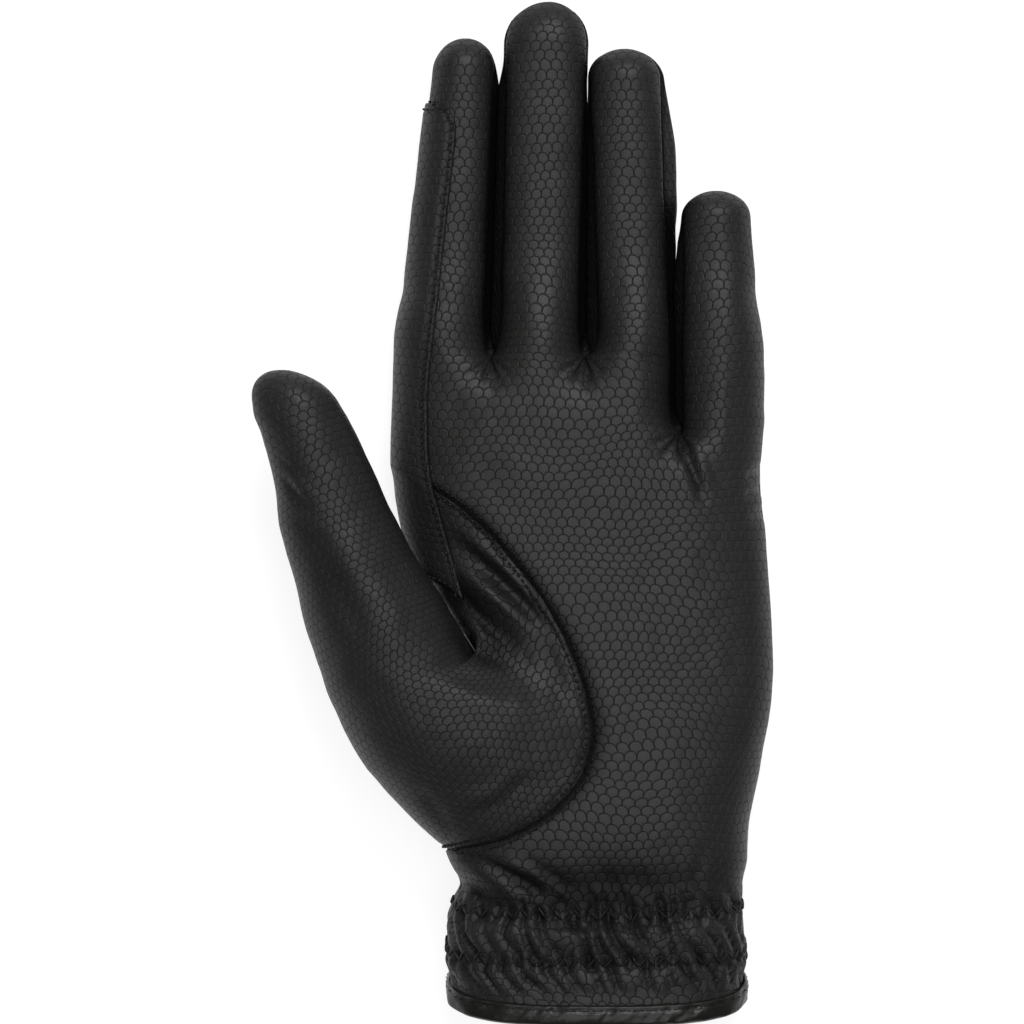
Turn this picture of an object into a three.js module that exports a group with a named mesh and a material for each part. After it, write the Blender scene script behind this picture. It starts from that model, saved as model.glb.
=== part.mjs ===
// A left-hand riding glove in grained synthetic leather, lying on its back with the palm up.
// Millimetres. +X is the little-finger side, +Y points along the fingers, +Z out of the palm.
// The glove is sewn from open panels: a palm panel and a back panel that run from the hem to the
// fingertips, three forked fourchettes between the fingers, a set-in thumb, a patch over the outer
// side of the index finger, and a folded binding round the hem. Every panel is one thin wall.

import * as THREE from "three";

// Driving dimensions
const palmLength = 159; // hem to the crotch between index and middle finger
const handWidth = 88; // across the knuckles
const palmDepth = 34; // front to back at the heel of the hand
const fingerLength = 85; // middle finger, crotch to tip
const fingerWidth = 19.6; // front of the index finger at its base
const fingerDepth = 18; // front to back of a finger
const fourchetteHeight = 7.4; // side wall of a finger, front seam to back seam
const fourchetteCrown = 0.2; // how far a side wall swells out between its seams
const thumbLength = 64.5; // thumb root to thumb tip
const thumbWidth = 23.4; // across the thumb at its nail
const thumbDepth = 21; // front to back at the same place
const panelWall = 1.2; // leather and its lining
const seamGap = 0.4; // between the edges of two sewn panels
const cornerGap = 1; // the same at the steep lower corner of the thumb
const patchWall = 0.7; // leather of the index patch
const patchClearance = 0.35; // patch to the panels under it
const bindingHeight = 5; // seen height of the hem binding
const bindingWall = 0.8; // leather of the binding
const bindingClearance = 0.3; // binding to the panel edges inside it
const gatherDepth = 1.1; // how far the cuff's folds stand out
const elasticPinch = 0.9; // how far the two elastic rows draw the cuff in
const hemDip = 6.4; // how far the palm side of the hem hangs below its sides
const crotchReach = 15; // length of the dent under each crotch
const rootReach = 8; // length over which a finger takes its own width

// How finely the panels are cut into faces
const stripColumns = 6;

// Rows with the column names that the first row gives.
function table([names, ...rows]) {
  return rows.map((row) => Object.fromEntries(names.map((name, n) => [name, row[n]])));
}

// Body sections from the hem (along 0) to the finger crotches (along 1).
// left, right: shares of handWidth from the midline. front, side, back: heights of the palm, of the
// side seam and of the back, shares of palmDepth; below zero the back is pressed flat where it lies.
// dip: share of hemDip. gather: share of gatherDepth. pinch: share of elasticPinch.
const BODY = table([
  ["along", "left", "right", "front", "side", "back", "dip", "gather", "pinch"],
  [0, -0.326, 0.46, 0.99, 0.49, 0.037, 1, 0, 0],
  [0.04, -0.326, 0.46, 1, 0.48, 0.037, 1, 0, 0],
  [0.072, -0.338, 0.47, 1, 0.47, -0.04, 0.75, 0.8, 0],
  [0.095, -0.347, 0.477, 0.99, 0.47, -0.04, 0.6, 0.5, 1],
  [0.132, -0.332, 0.459, 1, 0.46, -0.05, 0.5, 1, 0],
  [0.169, -0.328, 0.469, 0.95, 0.45, -0.05, 0.36, 0.5, 1],
  [0.2, -0.304, 0.464, 0.95, 0.44, -0.05, 0.2, 0.4, 0],
  [0.245, -0.335, 0.475, 0.97, 0.43, -0.05, 0.05, 0, 0],
  [0.289, -0.36, 0.479, 0.97, 0.42, -0.05, 0, 0, 0],
  [0.386, -0.4, 0.511, 0.95, 0.4, -0.05, 0, 0, 0],
  [0.53, -0.44, 0.546, 0.88, 0.38, -0.05, 0, 0, 0],
  [0.627, -0.462, 0.537, 0.84, 0.36, -0.05, 0, 0, 0],
  [0.723, -0.472, 0.527, 0.8, 0.33, -0.05, 0, 0, 0],
  [0.819, -0.475, 0.511, 0.77, 0.3, -0.05, 0, 0, 0],
  [0.916, -0.475, 0.5215, 0.74, 0.28, -0.05, 0, 0, 0],
  [1, -0.474, 0.5215, 0.71, 0.27, -0.05, 0, 0, 0],
]);
const palmSquareness = 2.9; // exponent of the palm's rounded section
const backSquareness = 4; // exponent of the flatter back
const fingerSquareness = 2.2;
const fingerSag = 1.7; // how far the back of a finger is pressed flat where it lies
const leanRise = 0.3; // share of a finger's length over which it comes to lean

// base: share of palmLength where the finger starts. centre, tip: its axis, shares of handWidth.
// length: share of fingerLength. width: share of fingerWidth. taper: loss of width at the tip.
// round: length of the rounded fingertip, share of fingerWidth. lean: how far the back seam stands
// out beyond the front seam on the little-finger side, share of fingerWidth. clear: share of the
// finger's length up to which its neighbour keeps it from leaning.
const FINGERS = table([
  ["name", "base", "centre", "tip", "length", "width", "taper", "round", "lean", "clear"],
  ["index", 1, -0.3566, -0.289, 0.896, 1.007, 0.273, 0.38, 0, 0],
  ["middle", 1, -0.091, -0.068, 1, 0.95, -0.06, 0.54, 0.06, 0.72],
  ["ring", 1, 0.168, 0.14, 0.867, 0.87, 0, 0.37, 0.17, 0.2],
  ["little", 0.886, 0.41, 0.391, 0.68, 1.02, 0.19, 0.33, 0, 0],
]);

// Crotches between neighbouring fingers. across: share of the width of the body's section.
const CROTCHES = [
  { along: 1, across: 0.256 },
  { along: 1, across: 0.511 },
  { along: 0.886, across: 0.776 },
];

// Front seam of the thumb hole. turn: degrees round the thumb. across: share of handWidth from the
// midline. along: share of palmLength. The first and last rows lie on the left side of the body.
const THUMB_SEAM_FRONT = [
  { turn: 0, across: -0.486, along: 0.84 },
  { turn: 12, across: -0.382, along: 0.801 },
  { turn: 22, across: -0.292, along: 0.767 },
  { turn: 32, across: -0.196, along: 0.715 },
  { turn: 43, across: -0.101, along: 0.648 },
  { turn: 54, across: -0.019, along: 0.572 },
  { turn: 65, across: 0.03, along: 0.497 },
  { turn: 76, across: 0.049, along: 0.437 },
  { turn: 88, across: 0.03, along: 0.384 },
  { turn: 100, across: -0.025, along: 0.339 },
  { turn: 115, across: -0.115, along: 0.3 },
  { turn: 130, across: -0.21, along: 0.276 },
  { turn: 150, across: -0.29, along: 0.266 },
  { turn: 180, across: -0.343, along: 0.259 },
];
const THUMB_SEAM_BACK = [
  { turn: 180, across: -0.343, along: 0.259 },
  { turn: 187, across: -0.338, along: 0.266 },
  { turn: 193, across: -0.33, along: 0.276 },
  { turn: 205, across: -0.31, along: 0.3 },
  { turn: 230, across: -0.27, along: 0.384 },
  { turn: 255, across: -0.235, along: 0.497 },
  { turn: 280, across: -0.225, along: 0.572 },
  { turn: 305, across: -0.24, along: 0.648 },
  { turn: 325, across: -0.285, along: 0.715 },
  { turn: 339, across: -0.345, along: 0.767 },
  { turn: 349, across: -0.4, along: 0.801 },
  { turn: 360, across: -0.486, along: 0.84 },
];

// Thumb sections. along: share of thumbLength. half: share of thumbWidth. drift: sideways share of
// thumbWidth. depth: share of thumbDepth. height: centre height, share of palmDepth.
const THUMB = [
  { along: -0.22, half: 0.79, drift: 0.02, depth: 0.8, height: 0.62 },
  { along: 0.0, half: 0.72, drift: 0.0, depth: 0.73, height: 0.66 },
  { along: 0.199, half: 0.63, drift: 0.0, depth: 0.65, height: 0.67 },
  { along: 0.397, half: 0.565, drift: 0.02, depth: 0.57, height: 0.69 },
  { along: 0.582, half: 0.5, drift: 0.08, depth: 0.5, height: 0.72 },
  { along: 0.735, half: 0.45, drift: 0.11, depth: 0.45, height: 0.75 },
  { along: 0.873, half: 0.425, drift: 0.1, depth: 0.4, height: 0.77 },
  { along: 1.0, half: 0.4, drift: 0.03, depth: 0.36, height: 0.78 },
];
const thumbRoot = { across: -0.527, along: 0.604 }; // shares of handWidth and palmLength
const thumbLean = 23.6; // degrees, thumb axis away from the fingers
const thumbSkew = 11; // degrees, sections turned back towards the palm
const thumbDome = 0.17; // rounded end, share of thumbLength

// How the set-in thumb leaves its seam. turn: degrees round the thumb. share: place of the middle
// knot between seam and thumb root. lift, drop: how far it stands out and hangs down, shares of
// thumbDepth.
const THUMB_FLARE = [
  { turn: 0, share: 0.55, lift: -0.2, drop: 0.3 },
  { turn: 20, share: 0.6, lift: -0.2, drop: 0.15 },
  { turn: 40, share: 0.62, lift: -0.16, drop: 0 },
  { turn: 60, share: 0.6, lift: -0.1, drop: 0 },
  { turn: 80, share: 0.5, lift: 0.1, drop: 0 },
  { turn: 110, share: 0.45, lift: 0.14, drop: 0 },
  { turn: 150, share: 0.45, lift: 0.15, drop: 0 },
  { turn: 185, share: 0.45, lift: 0.18, drop: 0 },
  { turn: 230, share: 0.45, lift: 0.18, drop: 0 },
  { turn: 300, share: 0.5, lift: 0.08, drop: 0 },
  { turn: 335, share: 0.55, lift: -0.1, drop: 0.1 },
  { turn: 360, share: 0.55, lift: -0.2, drop: 0.3 },
];

// Sewn edge of the index patch. along: share of palmLength from the hem. across: share of
// handWidth from the midline.
const PATCH = [
  { along: 0.83, across: -0.383 },
  { along: 0.86, across: -0.387 },
  { along: 0.934, across: -0.389 },
  { along: 1.01, across: -0.378 },
  { along: 1.085, across: -0.362 },
  { along: 1.175, across: -0.345 },
  { along: 1.28, across: -0.324 },
  { along: 1.32, across: -0.3165 },
  { along: 1.345, across: -0.315 },
  { along: 1.362, across: -0.326 },
  { along: 1.373, across: -0.345 },
  { along: 1.38, across: -0.385 },
];

// Lower end of the index patch, on the web of the thumb. stage: place from the thumb seam (-2)
// towards the root of the thumb (0). edge: degrees round the thumb at the sewn edge.
const TONGUE = [
  { stage: -0.8, edge: 28 },
  { stage: -1.2, edge: 23 },
  { stage: -1.6, edge: 17.5 },
  { stage: -2, edge: 13 },
];
const tongueRise = 0.6; // extra height of the patch where it crosses the thumb seam
const patchWrap = 0.45; // how far the patch goes on past the side seam, share of one column

const degrees = Math.PI / 180;
const clamp = (value, low, high) => Math.min(high, Math.max(low, value));
const mix = (a, b, share) => a + (b - a) * share;
const smooth = (share) => {
  const t = clamp(share, 0, 1);
  return t * t * (3 - 2 * t);
};

// A table's column at a key, by a monotone cubic, so that no value overshoots its neighbours.
function lookUp(table, key, column, at) {
  const x = table.map((row) => row[key]);
  const y = table.map((row) => row[column]);
  const last = x.length - 1;
  if (at <= x[0]) return y[0];
  if (at >= x[last]) return y[last];
  const i = x.findIndex((value) => value > at) - 1;
  const slope = (n) => (y[n + 1] - y[n]) / (x[n + 1] - x[n]);
  const tangent = (n) => {
    if (n === 0) return slope(0);
    if (n === last) return slope(last - 1);
    const [before, after] = [slope(n - 1), slope(n)];
    return before * after <= 0 ? 0 : (2 * before * after) / (before + after);
  };
  const h = x[i + 1] - x[i];
  const t = (at - x[i]) / h;
  const rise = t * t * (3 - 2 * t);
  const curl = h * t * (1 - t) * ((1 - t) * tangent(i) - t * tangent(i + 1));
  return mix(y[i], y[i + 1], rise) + curl;
}

// Height of a rounded section at a place from -1 to 1 across it.
const arch = (place, squareness) =>
  Math.pow(Math.max(0, 1 - Math.pow(Math.abs(place), squareness)), 1 / squareness);

const body = (column, y) => lookUp(BODY, "along", column, y / palmLength);
const bodyLeft = (y) => body("left", y) * handWidth;
const bodyRight = (y) => body("right", y) * handWidth;
const sideHeight = (y) => body("side", y) * palmDepth;

// Left edge of the palm (side 1) or back panel (side -1): the body's side, or the thumb seam.
function leftEdge(y, side) {
  const seam = side > 0 ? THUMB_SEAM_FRONT : THUMB_SEAM_BACK;
  const [low, high] = [seam[0].along, seam[seam.length - 1].along].sort((a, b) => a - b);
  const along = y / palmLength;
  if (along <= low || along >= high) return bodyLeft(y);
  const rising = seam[0].along < seam[1].along ? seam : [...seam].reverse();
  return Math.max(bodyLeft(y), lookUp(rising, "along", "across", along) * handWidth);
}

// Fingers

const fingerBase = (finger) => finger.base * palmLength;
const fingerTip = (finger) => fingerBase(finger) + finger.length * fingerLength;
const fingerShare = (finger, y) => (y - fingerBase(finger)) / (finger.length * fingerLength);
const fingerAxis = (finger, y) =>
  mix(finger.centre, finger.tip, clamp(fingerShare(finger, y), 0, 1)) * handWidth;

// 1 along the finger, falling to 0 over its rounded tip.
function dome(finger, y) {
  const round = finger.round * fingerWidth;
  const into = clamp((y - (fingerTip(finger) - round)) / round, 0, 1);
  return Math.sqrt(1 - into * into);
}

const fingerHalf = (finger, y) =>
  0.5 * finger.width * fingerWidth * (1 - finger.taper * fingerShare(finger, y)) * dome(finger, y);

// Half the height of the side walls between two fingers, tapering out towards the tip.
function sideWallHalf(finger, y) {
  const taper = mix(0.25, 1, smooth((0.96 - fingerShare(finger, y)) / 0.3));
  return 0.5 * fourchetteHeight * taper * dome(finger, y);
}

// x of the edge of finger strip k on one side (-1 left, 1 right), for either panel.
function stripEdge(k, hand, y, panel, hole = true) {
  const boundary = hand < 0 ? k - 1 : k;
  const outer = boundary < 0 || boundary > 2;
  const top = palmLength * (outer ? 1 : CROTCHES[boundary].along);
  const at = Math.min(y, top);
  const left = hole ? leftEdge(at, panel) : bodyLeft(at);
  const right = bodyRight(at);
  let share = boundary < 0 ? 0 : 1;
  if (!outer) {
    const crotch = CROTCHES[boundary];
    share = mix((boundary + 1) / 4, crotch.across, at / (crotch.along * palmLength));
  }
  const start = mix(left, right, share);
  if (y <= top) return start;
  const finger = FINGERS[k];
  const wall = sideWallHalf(finger, y) / (0.5 * fourchetteHeight);
  const free = smooth((fingerShare(finger, y) - finger.clear) / leanRise);
  const lean = panel < 0 && hand > 0 ? finger.lean * fingerWidth * wall * free : 0;
  const own = fingerAxis(finger, y) + hand * fingerHalf(finger, y) + lean;
  const rise = clamp((y - top) / rootReach, 0, 1);
  return mix(start, own, outer ? smooth(0.5 * (y - top) / rootReach) : Math.sqrt(rise * (2 - rise)));
}

// How much of the dent or slit beside finger k there is at y: 0 on the palm, 1 above the crotch.
function slit(k, hand, y) {
  const boundary = hand < 0 ? k - 1 : k;
  if (boundary < 0 || boundary > 2) {
    return smooth((y - palmLength + crotchReach) / (2 * crotchReach));
  }
  const into = (y - CROTCHES[boundary].along * palmLength + crotchReach) / crotchReach;
  return Math.pow(clamp(into, 0, 1), 3);
}

// Height of the edge of strip k, where it is sewn to a fourchette or to the other panel.
function edgeHeight(k, hand, y, panel) {
  const boundary = hand < 0 ? k - 1 : k;
  const finger = FINGERS[k];
  const middle = mix(
    sideHeight(Math.min(y, palmLength)),
    0.48 * fingerDepth,
    smooth((y - palmLength + crotchReach) / (3 * crotchReach)),
  );
  const outer = boundary < 0 || boundary > 2;
  const wall = outer ? 0 : sideWallHalf(finger, y);
  return middle + panel * (wall + 0.5 * seamGap);
}

// Height of the palm (panel 1) or back (panel -1) over the body's section, without slits.
function bodyHeight(x, y, panel) {
  const [left, right] = [bodyLeft(y), bodyRight(y)];
  const place = clamp((2 * x - left - right) / (right - left), -1, 1);
  const side = sideHeight(y) + 0.5 * panel * seamGap;
  if (panel > 0) {
    return mix(side, body("front", y) * palmDepth, arch(place, palmSquareness));
  }
  return mix(side, body("back", y) * palmDepth, arch(place, backSquareness));
}

// Outward direction of the palm or back, which both edges of the thumb seam take.
function bodyNormal(x, y, panel) {
  const step = 0.5;
  const rise = (bodyHeight(x + step, y, panel) - bodyHeight(x, y, panel)) / step;
  return new THREE.Vector3(-panel * rise, 0, panel).normalize();
}

// Crest of finger k, above the palm panel or under the back panel.
function fingerCrest(k, y, panel) {
  const finger = FINGERS[k];
  const from = Math.min(y, palmLength);
  const axis = 0.5 * (stripEdge(k, -1, from, panel, false) + stripEdge(k, 1, from, panel, false));
  const start = bodyHeight(axis, from, panel);
  if (y <= palmLength) return start;
  const share = fingerShare(finger, y);
  const own = panel > 0 ? fingerDepth * (1 - 0.08 * share) : -fingerSag;
  const crest = mix(start, own, smooth((y - palmLength) / (2 * crotchReach)));
  return mix(edgeHeight(k, -1, fingerTip(finger), panel), crest, dome(finger, y));
}

// Cuff folds: every second column stands out, and the elastic rows draw the whole cuff in.
function gather(point, column, y) {
  const middle = 0.5 * (bodyLeft(y) + bodyRight(y));
  const out = new THREE.Vector3(point.x - middle, 0, point.z - sideHeight(y)).normalize();
  const fold = column % 2 ? body("gather", y) * gatherDepth : 0;
  point.addScaledVector(out, fold - body("pinch", y) * elasticPinch);
  return point;
}

// Point of finger strip k at an angle from -90 to 90 degrees across it.
function stripPoint(k, angle, y, panel, hole = true) {
  const hand = angle < 0 ? -1 : 1;
  const [left, right] = [stripEdge(k, -1, y, panel, hole), stripEdge(k, 1, y, panel, hole)];
  const outer = (k === 0 && hand < 0) || (k === 3 && hand > 0);
  const cut = slit(k, hand, y);
  const round = Math.sin(angle * degrees);
  const place = mix(angle / 90, round, outer ? 1 : cut);
  const x = mix(left, right, 0.5 + 0.5 * place);
  const edge = edgeHeight(k, hand, y, panel);
  const finger = mix(edge, fingerCrest(k, y, panel), arch(round, fingerSquareness));
  const z = y <= palmLength ? mix(bodyHeight(x, y, panel), finger, cut) : finger;
  const dip = body("dip", y) * hemDip;
  const side = sideHeight(Math.min(y, palmLength));
  const forward = (z - side) / (body("front", y) * palmDepth - side);
  return new THREE.Vector3(x, y + dip * (1 - (panel > 0 ? forward : 0.4 * forward)), z);
}

// Skins: open surfaces with shared points, then given their wall

// Joins grids of points into one open surface. Points at the same place become one.
function joinGrids(grids) {
  const points = [];
  const faces = [];
  const upright = new Set();
  const turned = new Map();
  const raised = new Map();
  const known = new Map();
  const index = (entry) => {
    const key = entry.point.toArray().map((value) => value.toFixed(3)).join();
    if (!known.has(key)) {
      known.set(key, points.length);
      points.push(entry.point.clone());
    }
    if (entry.upright) upright.add(known.get(key));
    if (entry.normal) turned.set(known.get(key), entry.normal);
    if (entry.rise) raised.set(known.get(key), entry.rise);
    return known.get(key);
  };
  const add = (a, b, c) => {
    if (a !== b && b !== c && c !== a) faces.push([a, b, c]);
  };
  for (const grid of grids) {
    const indices = grid.map((row) => row.map(index));
    for (let r = 0; r + 1 < indices.length; r++) {
      for (let c = 0; c + 1 < indices[r].length; c++) {
        const [a, b] = [indices[r][c], indices[r][c + 1]];
        const [d, e] = [indices[r + 1][c], indices[r + 1][c + 1]];
        add(a, b, e);
        add(a, e, d);
      }
    }
  }
  return { points, faces, upright, turned, raised };
}

function vertexNormals(skin) {
  const normals = skin.points.map(() => new THREE.Vector3());
  for (const [a, b, c] of skin.faces) {
    const [pa, pb, pc] = [a, b, c].map((n) => skin.points[n]);
    const area = pb.clone().sub(pa).cross(pc.clone().sub(pa));
    [a, b, c].forEach((n) => normals[n].add(area));
  }
  normals.forEach((normal, n) => {
    if (skin.upright.has(n)) normal.z = 0;
    if (skin.turned.has(n)) normal.copy(skin.turned.get(n));
    normal.normalize();
  });
  return normals;
}

// Closed wall between the skin, raised by lift, and its copy a wall's thickness inside.
function thicken(skin, wall, lift = 0) {
  const normals = vertexNormals(skin);
  const count = skin.points.length;
  const at = (n, depth) =>
    skin.points[n].clone().addScaledVector(normals[n], depth + (skin.raised.get(n) ?? 0));
  const vertices = [];
  for (let n = 0; n < count; n++) vertices.push(at(n, lift));
  for (let n = 0; n < count; n++) vertices.push(at(n, lift - wall));
  const edges = new Set();
  skin.faces.forEach((f) => f.forEach((a, i) => edges.add(a + "," + f[(i + 1) % 3])));
  const faces = [];
  for (const [a, b, c] of skin.faces) {
    faces.push([a, b, c], [a + count, c + count, b + count]);
  }
  for (const edge of edges) {
    const [a, b] = edge.split(",").map(Number);
    if (edges.has(b + "," + a)) continue;
    faces.push([b, a, a + count], [b, a + count, b + count]);
  }
  // What lies on its back is flattened where it rests.
  vertices.forEach((v, n) => {
    v.z = Math.max(v.z, n < count ? 0 : wall);
  });
  const geometry = new THREE.BufferGeometry();
  const flat = vertices.flatMap((v) => v.toArray());
  geometry.setAttribute("position", new THREE.Float32BufferAttribute(flat, 3));
  geometry.setIndex(faces.flat());
  geometry.computeVertexNormals();
  return geometry;
}

// Rows of the two body panels

const bodyRows = [
  0.007, 0.038, 0.072, 0.095, 0.114, 0.132, 0.15, 0.169, 0.2, 0.23, 0.259, 0.266, 0.276,
  0.3, 0.339, 0.384, 0.437, 0.497, 0.572, 0.648, 0.715, 0.767, 0.801, 0.84, 0.886, 0.92,
  0.955, 0.98, 1.0,
].map((along) => along * palmLength);

const fingerShares = [0.06, 0.16, 0.32, 0.52, 0.72, 0.85, 0.9, 1];

// Rows of a finger above the crotch line, closer together over the rounded tip.
function fingerRows(finger) {
  const tip = fingerTip(finger);
  const round = finger.round * fingerWidth;
  const start = tip - round;
  const straight = fingerShares.map((share) => mix(palmLength, start, share));
  return [...straight, ...[25, 50, 72, 90].map((turn) => start + round * Math.sin(turn * degrees))];
}

// Points of finger strip k across one row of a panel, with the normals that its edges need.
function stripRow(k, y, panel, hole = true) {
  const row = [];
  for (let c = 0; c <= stripColumns; c++) {
    const angle = mix(-90, 90, c / stripColumns);
    const point = gather(stripPoint(k, angle, y, panel, hole), k * stripColumns + c, y);
    const sideSeam = (k === 0 && c === 0) || (k === 3 && c === stripColumns);
    const onThumb = k === 0 && c === 0 && leftEdge(y, panel) > bodyLeft(y) + seamGap;
    const slitEdge = c % stripColumns === 0 && slit(k, c ? 1 : -1, y) === 1;
    const normal = onThumb ? bodyNormal(point.x, y, panel) : undefined;
    row.push({ point, normal, upright: (sideSeam || slitEdge) && !onThumb });
  }
  return row;
}

function panelSkin(panel) {
  const grids = FINGERS.map((finger, k) =>
    [...bodyRows, ...fingerRows(finger)].map((y) => {
      const row = stripRow(k, y, panel);
      return panel > 0 ? row : row.reverse();
    }),
  );
  return joinGrids(grids);
}

// Fourchette: one strip from near a fingertip down to the crotch and up the next finger.
function fourchetteSkin(gap) {
  const rungs = [];
  const reach = (k) => {
    const base = CROTCHES[gap].along * palmLength;
    const rows = [...bodyRows, ...fingerRows(FINGERS[k])].filter((y) => y >= base - 0.001);
    return rows.slice(0, -2);
  };
  const rung = (k, hand, y) => {
    const [front, back] = [1, -1].map(
      (panel) => new THREE.Vector3(stripEdge(k, hand, y, panel), y, edgeHeight(k, hand, y, panel)));
    const clear = seamGap / front.distanceTo(back);
    const points = [clear, 0.5, 1 - clear].map((s) => back.clone().lerp(front, s));
    const full = smooth((y - CROTCHES[gap].along * palmLength) / rootReach) * dome(FINGERS[k], y);
    points[1].x += hand * fourchetteCrown * full;
    return points;
  };
  reach(gap).reverse().forEach((y) => rungs.push(rung(gap, 1, y)));
  reach(gap + 1).slice(1).forEach((y) => rungs.push(rung(gap + 1, -1, y)));
  return joinGrids([rungs.map((rung) => rung.map((point) => ({ point, upright: true })))]);
}

// Thumb

const thumbStart = THUMB[0].along;
const thumbDirection = new THREE.Vector3(
  -Math.sin(thumbLean * degrees), Math.cos(thumbLean * degrees), 0);
const thumbAcross = new THREE.Vector3(
  Math.cos((thumbLean - thumbSkew) * degrees), Math.sin((thumbLean - thumbSkew) * degrees), 0);

function thumbRing(turn, along) {
  const at = (column) => lookUp(THUMB, "along", column, along);
  const into = clamp((along - 1 + thumbDome) / thumbDome, 0, 1);
  const round = Math.sqrt(1 - into * into);
  const half = at("half") * thumbWidth * round;
  const depth = at("depth") * thumbDepth * round;
  const point = new THREE.Vector3(
    thumbRoot.across * handWidth, thumbRoot.along * palmLength, at("height") * palmDepth);
  point.addScaledVector(thumbDirection, along * thumbLength);
  point.addScaledVector(thumbAcross, at("drift") * thumbWidth + half * Math.cos(turn * degrees));
  point.z += depth * Math.sin(turn * degrees);
  return point;
}

// Point of the thumb seam, on the edge of the hole in the two panels.
function thumbSeam(turn) {
  const panel = turn <= 180 ? 1 : -1;
  const table = panel > 0 ? THUMB_SEAM_FRONT : THUMB_SEAM_BACK;
  const y = lookUp(table, "turn", "along", turn) * palmLength;
  if (turn % 180 === 0) return new THREE.Vector3(bodyLeft(y), y, sideHeight(y));
  const x = Math.max(lookUp(table, "turn", "across", turn) * handWidth, bodyLeft(y));
  return new THREE.Vector3(x, y, bodyHeight(x, y, panel));
}

function seamNormal(turn) {
  if (turn % 180 === 0) return new THREE.Vector3(-1, 0, 0);
  const seam = thumbSeam(turn);
  return bodyNormal(seam.x, seam.y, turn < 180 ? 1 : -1);
}

function catmull(p, t) {
  const [a, b, c, d] = p;
  const part = (axis) =>
    0.5 * (2 * b[axis] + (c[axis] - a[axis]) * t +
      (2 * a[axis] - 5 * b[axis] + 4 * c[axis] - d[axis]) * t * t +
      (3 * b[axis] - a[axis] - 3 * c[axis] + d[axis]) * t * t * t);
  return new THREE.Vector3(part("x"), part("y"), part("z"));
}

// Thumb surface: seam at stage -2, root of the thumb at 0, tip at 1.
function thumbPoint(turn, stage) {
  if (stage >= 0) return thumbRing(turn, mix(thumbStart, 1, stage));
  const seam = thumbSeam(turn);
  const root = thumbRing(turn, thumbStart);
  const middle = seam.clone().lerp(root, 1 - lookUp(THUMB_FLARE, "turn", "share", turn));
  const out = thumbAcross.clone().multiplyScalar(Math.cos(turn * degrees));
  out.z = Math.sin(turn * degrees);
  middle.addScaledVector(out, lookUp(THUMB_FLARE, "turn", "lift", turn) * thumbDepth);
  middle.z -= lookUp(THUMB_FLARE, "turn", "drop", turn) * thumbDepth;
  const before = seam.clone().multiplyScalar(2).sub(middle);
  const knots = [before, seam, middle, root, thumbRing(turn, thumbStart + 0.25)];
  const first = stage < -1 ? 0 : 1;
  return catmull(knots.slice(first, first + 4), stage + 2 - first);
}

const thumbTurns = [...THUMB_SEAM_FRONT, ...THUMB_SEAM_BACK.slice(1)].map((row) => row.turn);

function thumbSkin() {
  const end = thumbDome / (1 - thumbStart);
  const round = [30, 60, 90].map((turn) => 1 - end + end * Math.sin(turn * degrees));
  const stages = [-2, -1.6, -1.2, -0.8, -0.4, 0, 0.12, 0.25, 0.4, 0.56, 0.71, 1 - end, ...round];
  const grid = stages.map((stage) => thumbTurns.map((turn) => ({ point: thumbPoint(turn, stage) })));
  // The seam row draws back so that the thumb clears the panels by the seam gap.
  const count = thumbTurns.length - 1;
  const seam = thumbTurns.map((turn) => thumbSeam(turn));
  grid[0].forEach((entry, c) => {
    entry.normal = seamNormal(thumbTurns[c]);
    const along = seam[(c % count) + 1].clone().sub(seam[(c + count - 1) % count]);
    const inward = along.cross(entry.normal).normalize();
    const side = Math.sign(inward.dot(grid[1][c].point.clone().sub(entry.point)));
    const gap = Math.abs(thumbTurns[c] - 187) < 10 ? cornerGap : seamGap;
    entry.point.addScaledVector(inward, side * gap);
  });
  return joinGrids([grid.map((row) => row.reverse())]);
}

// Row of the index patch over the panels: from the outer side of the finger to the sewn edge.
function patchRow(y) {
  const front = stripRow(0, y, 1).map((entry) => entry.point);
  const back = stripRow(0, y, -1).map((entry) => entry.point);
  const x = lookUp(PATCH, "along", "across", y / palmLength) * handWidth;
  const c = front.findIndex((point) => point.x > x);
  const cut = front[c - 1].clone().lerp(front[c], (x - front[c - 1].x) / (front[c].x - front[c - 1].x));
  const side = front[0].clone().lerp(back[0], 0.5);
  const inner = [1, 2, 3].map((n) => (n < c ? front[n] : cut));
  return [back[0].clone().lerp(back[1], patchWrap), side, ...inner, cut];
}

// Index patch: its tongue lies on the thumb's web, the rest round the outer side of the finger.
function patchSkin() {
  const rows = TONGUE.map(({ stage, edge }) => [354, 0, 12, 22, 32, 43].map((column) => {
    const turn = column < 180 ? Math.min(column, edge) : column;
    const c = thumbTurns.findIndex((value) => value > turn) - 1;
    const share = (turn - thumbTurns[c]) / (thumbTurns[c + 1] - thumbTurns[c]);
    const point = thumbPoint(thumbTurns[c], stage);
    return { point: point.lerp(thumbPoint(thumbTurns[c + 1], stage), share), rise: tongueRise };
  }));
  const [low, high] = [PATCH[0].along, PATCH[PATCH.length - 1].along].map((s) => s * palmLength);
  for (const y of [...bodyRows, ...fingerRows(FINGERS[0])]) {
    const rise = tongueRise * smooth((palmLength - y) / (palmLength - low));
    if (y > low && y < high) rows.push(patchRow(y).map((point) => ({ point, rise })));
  }
  return joinGrids([rows]);
}

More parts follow.
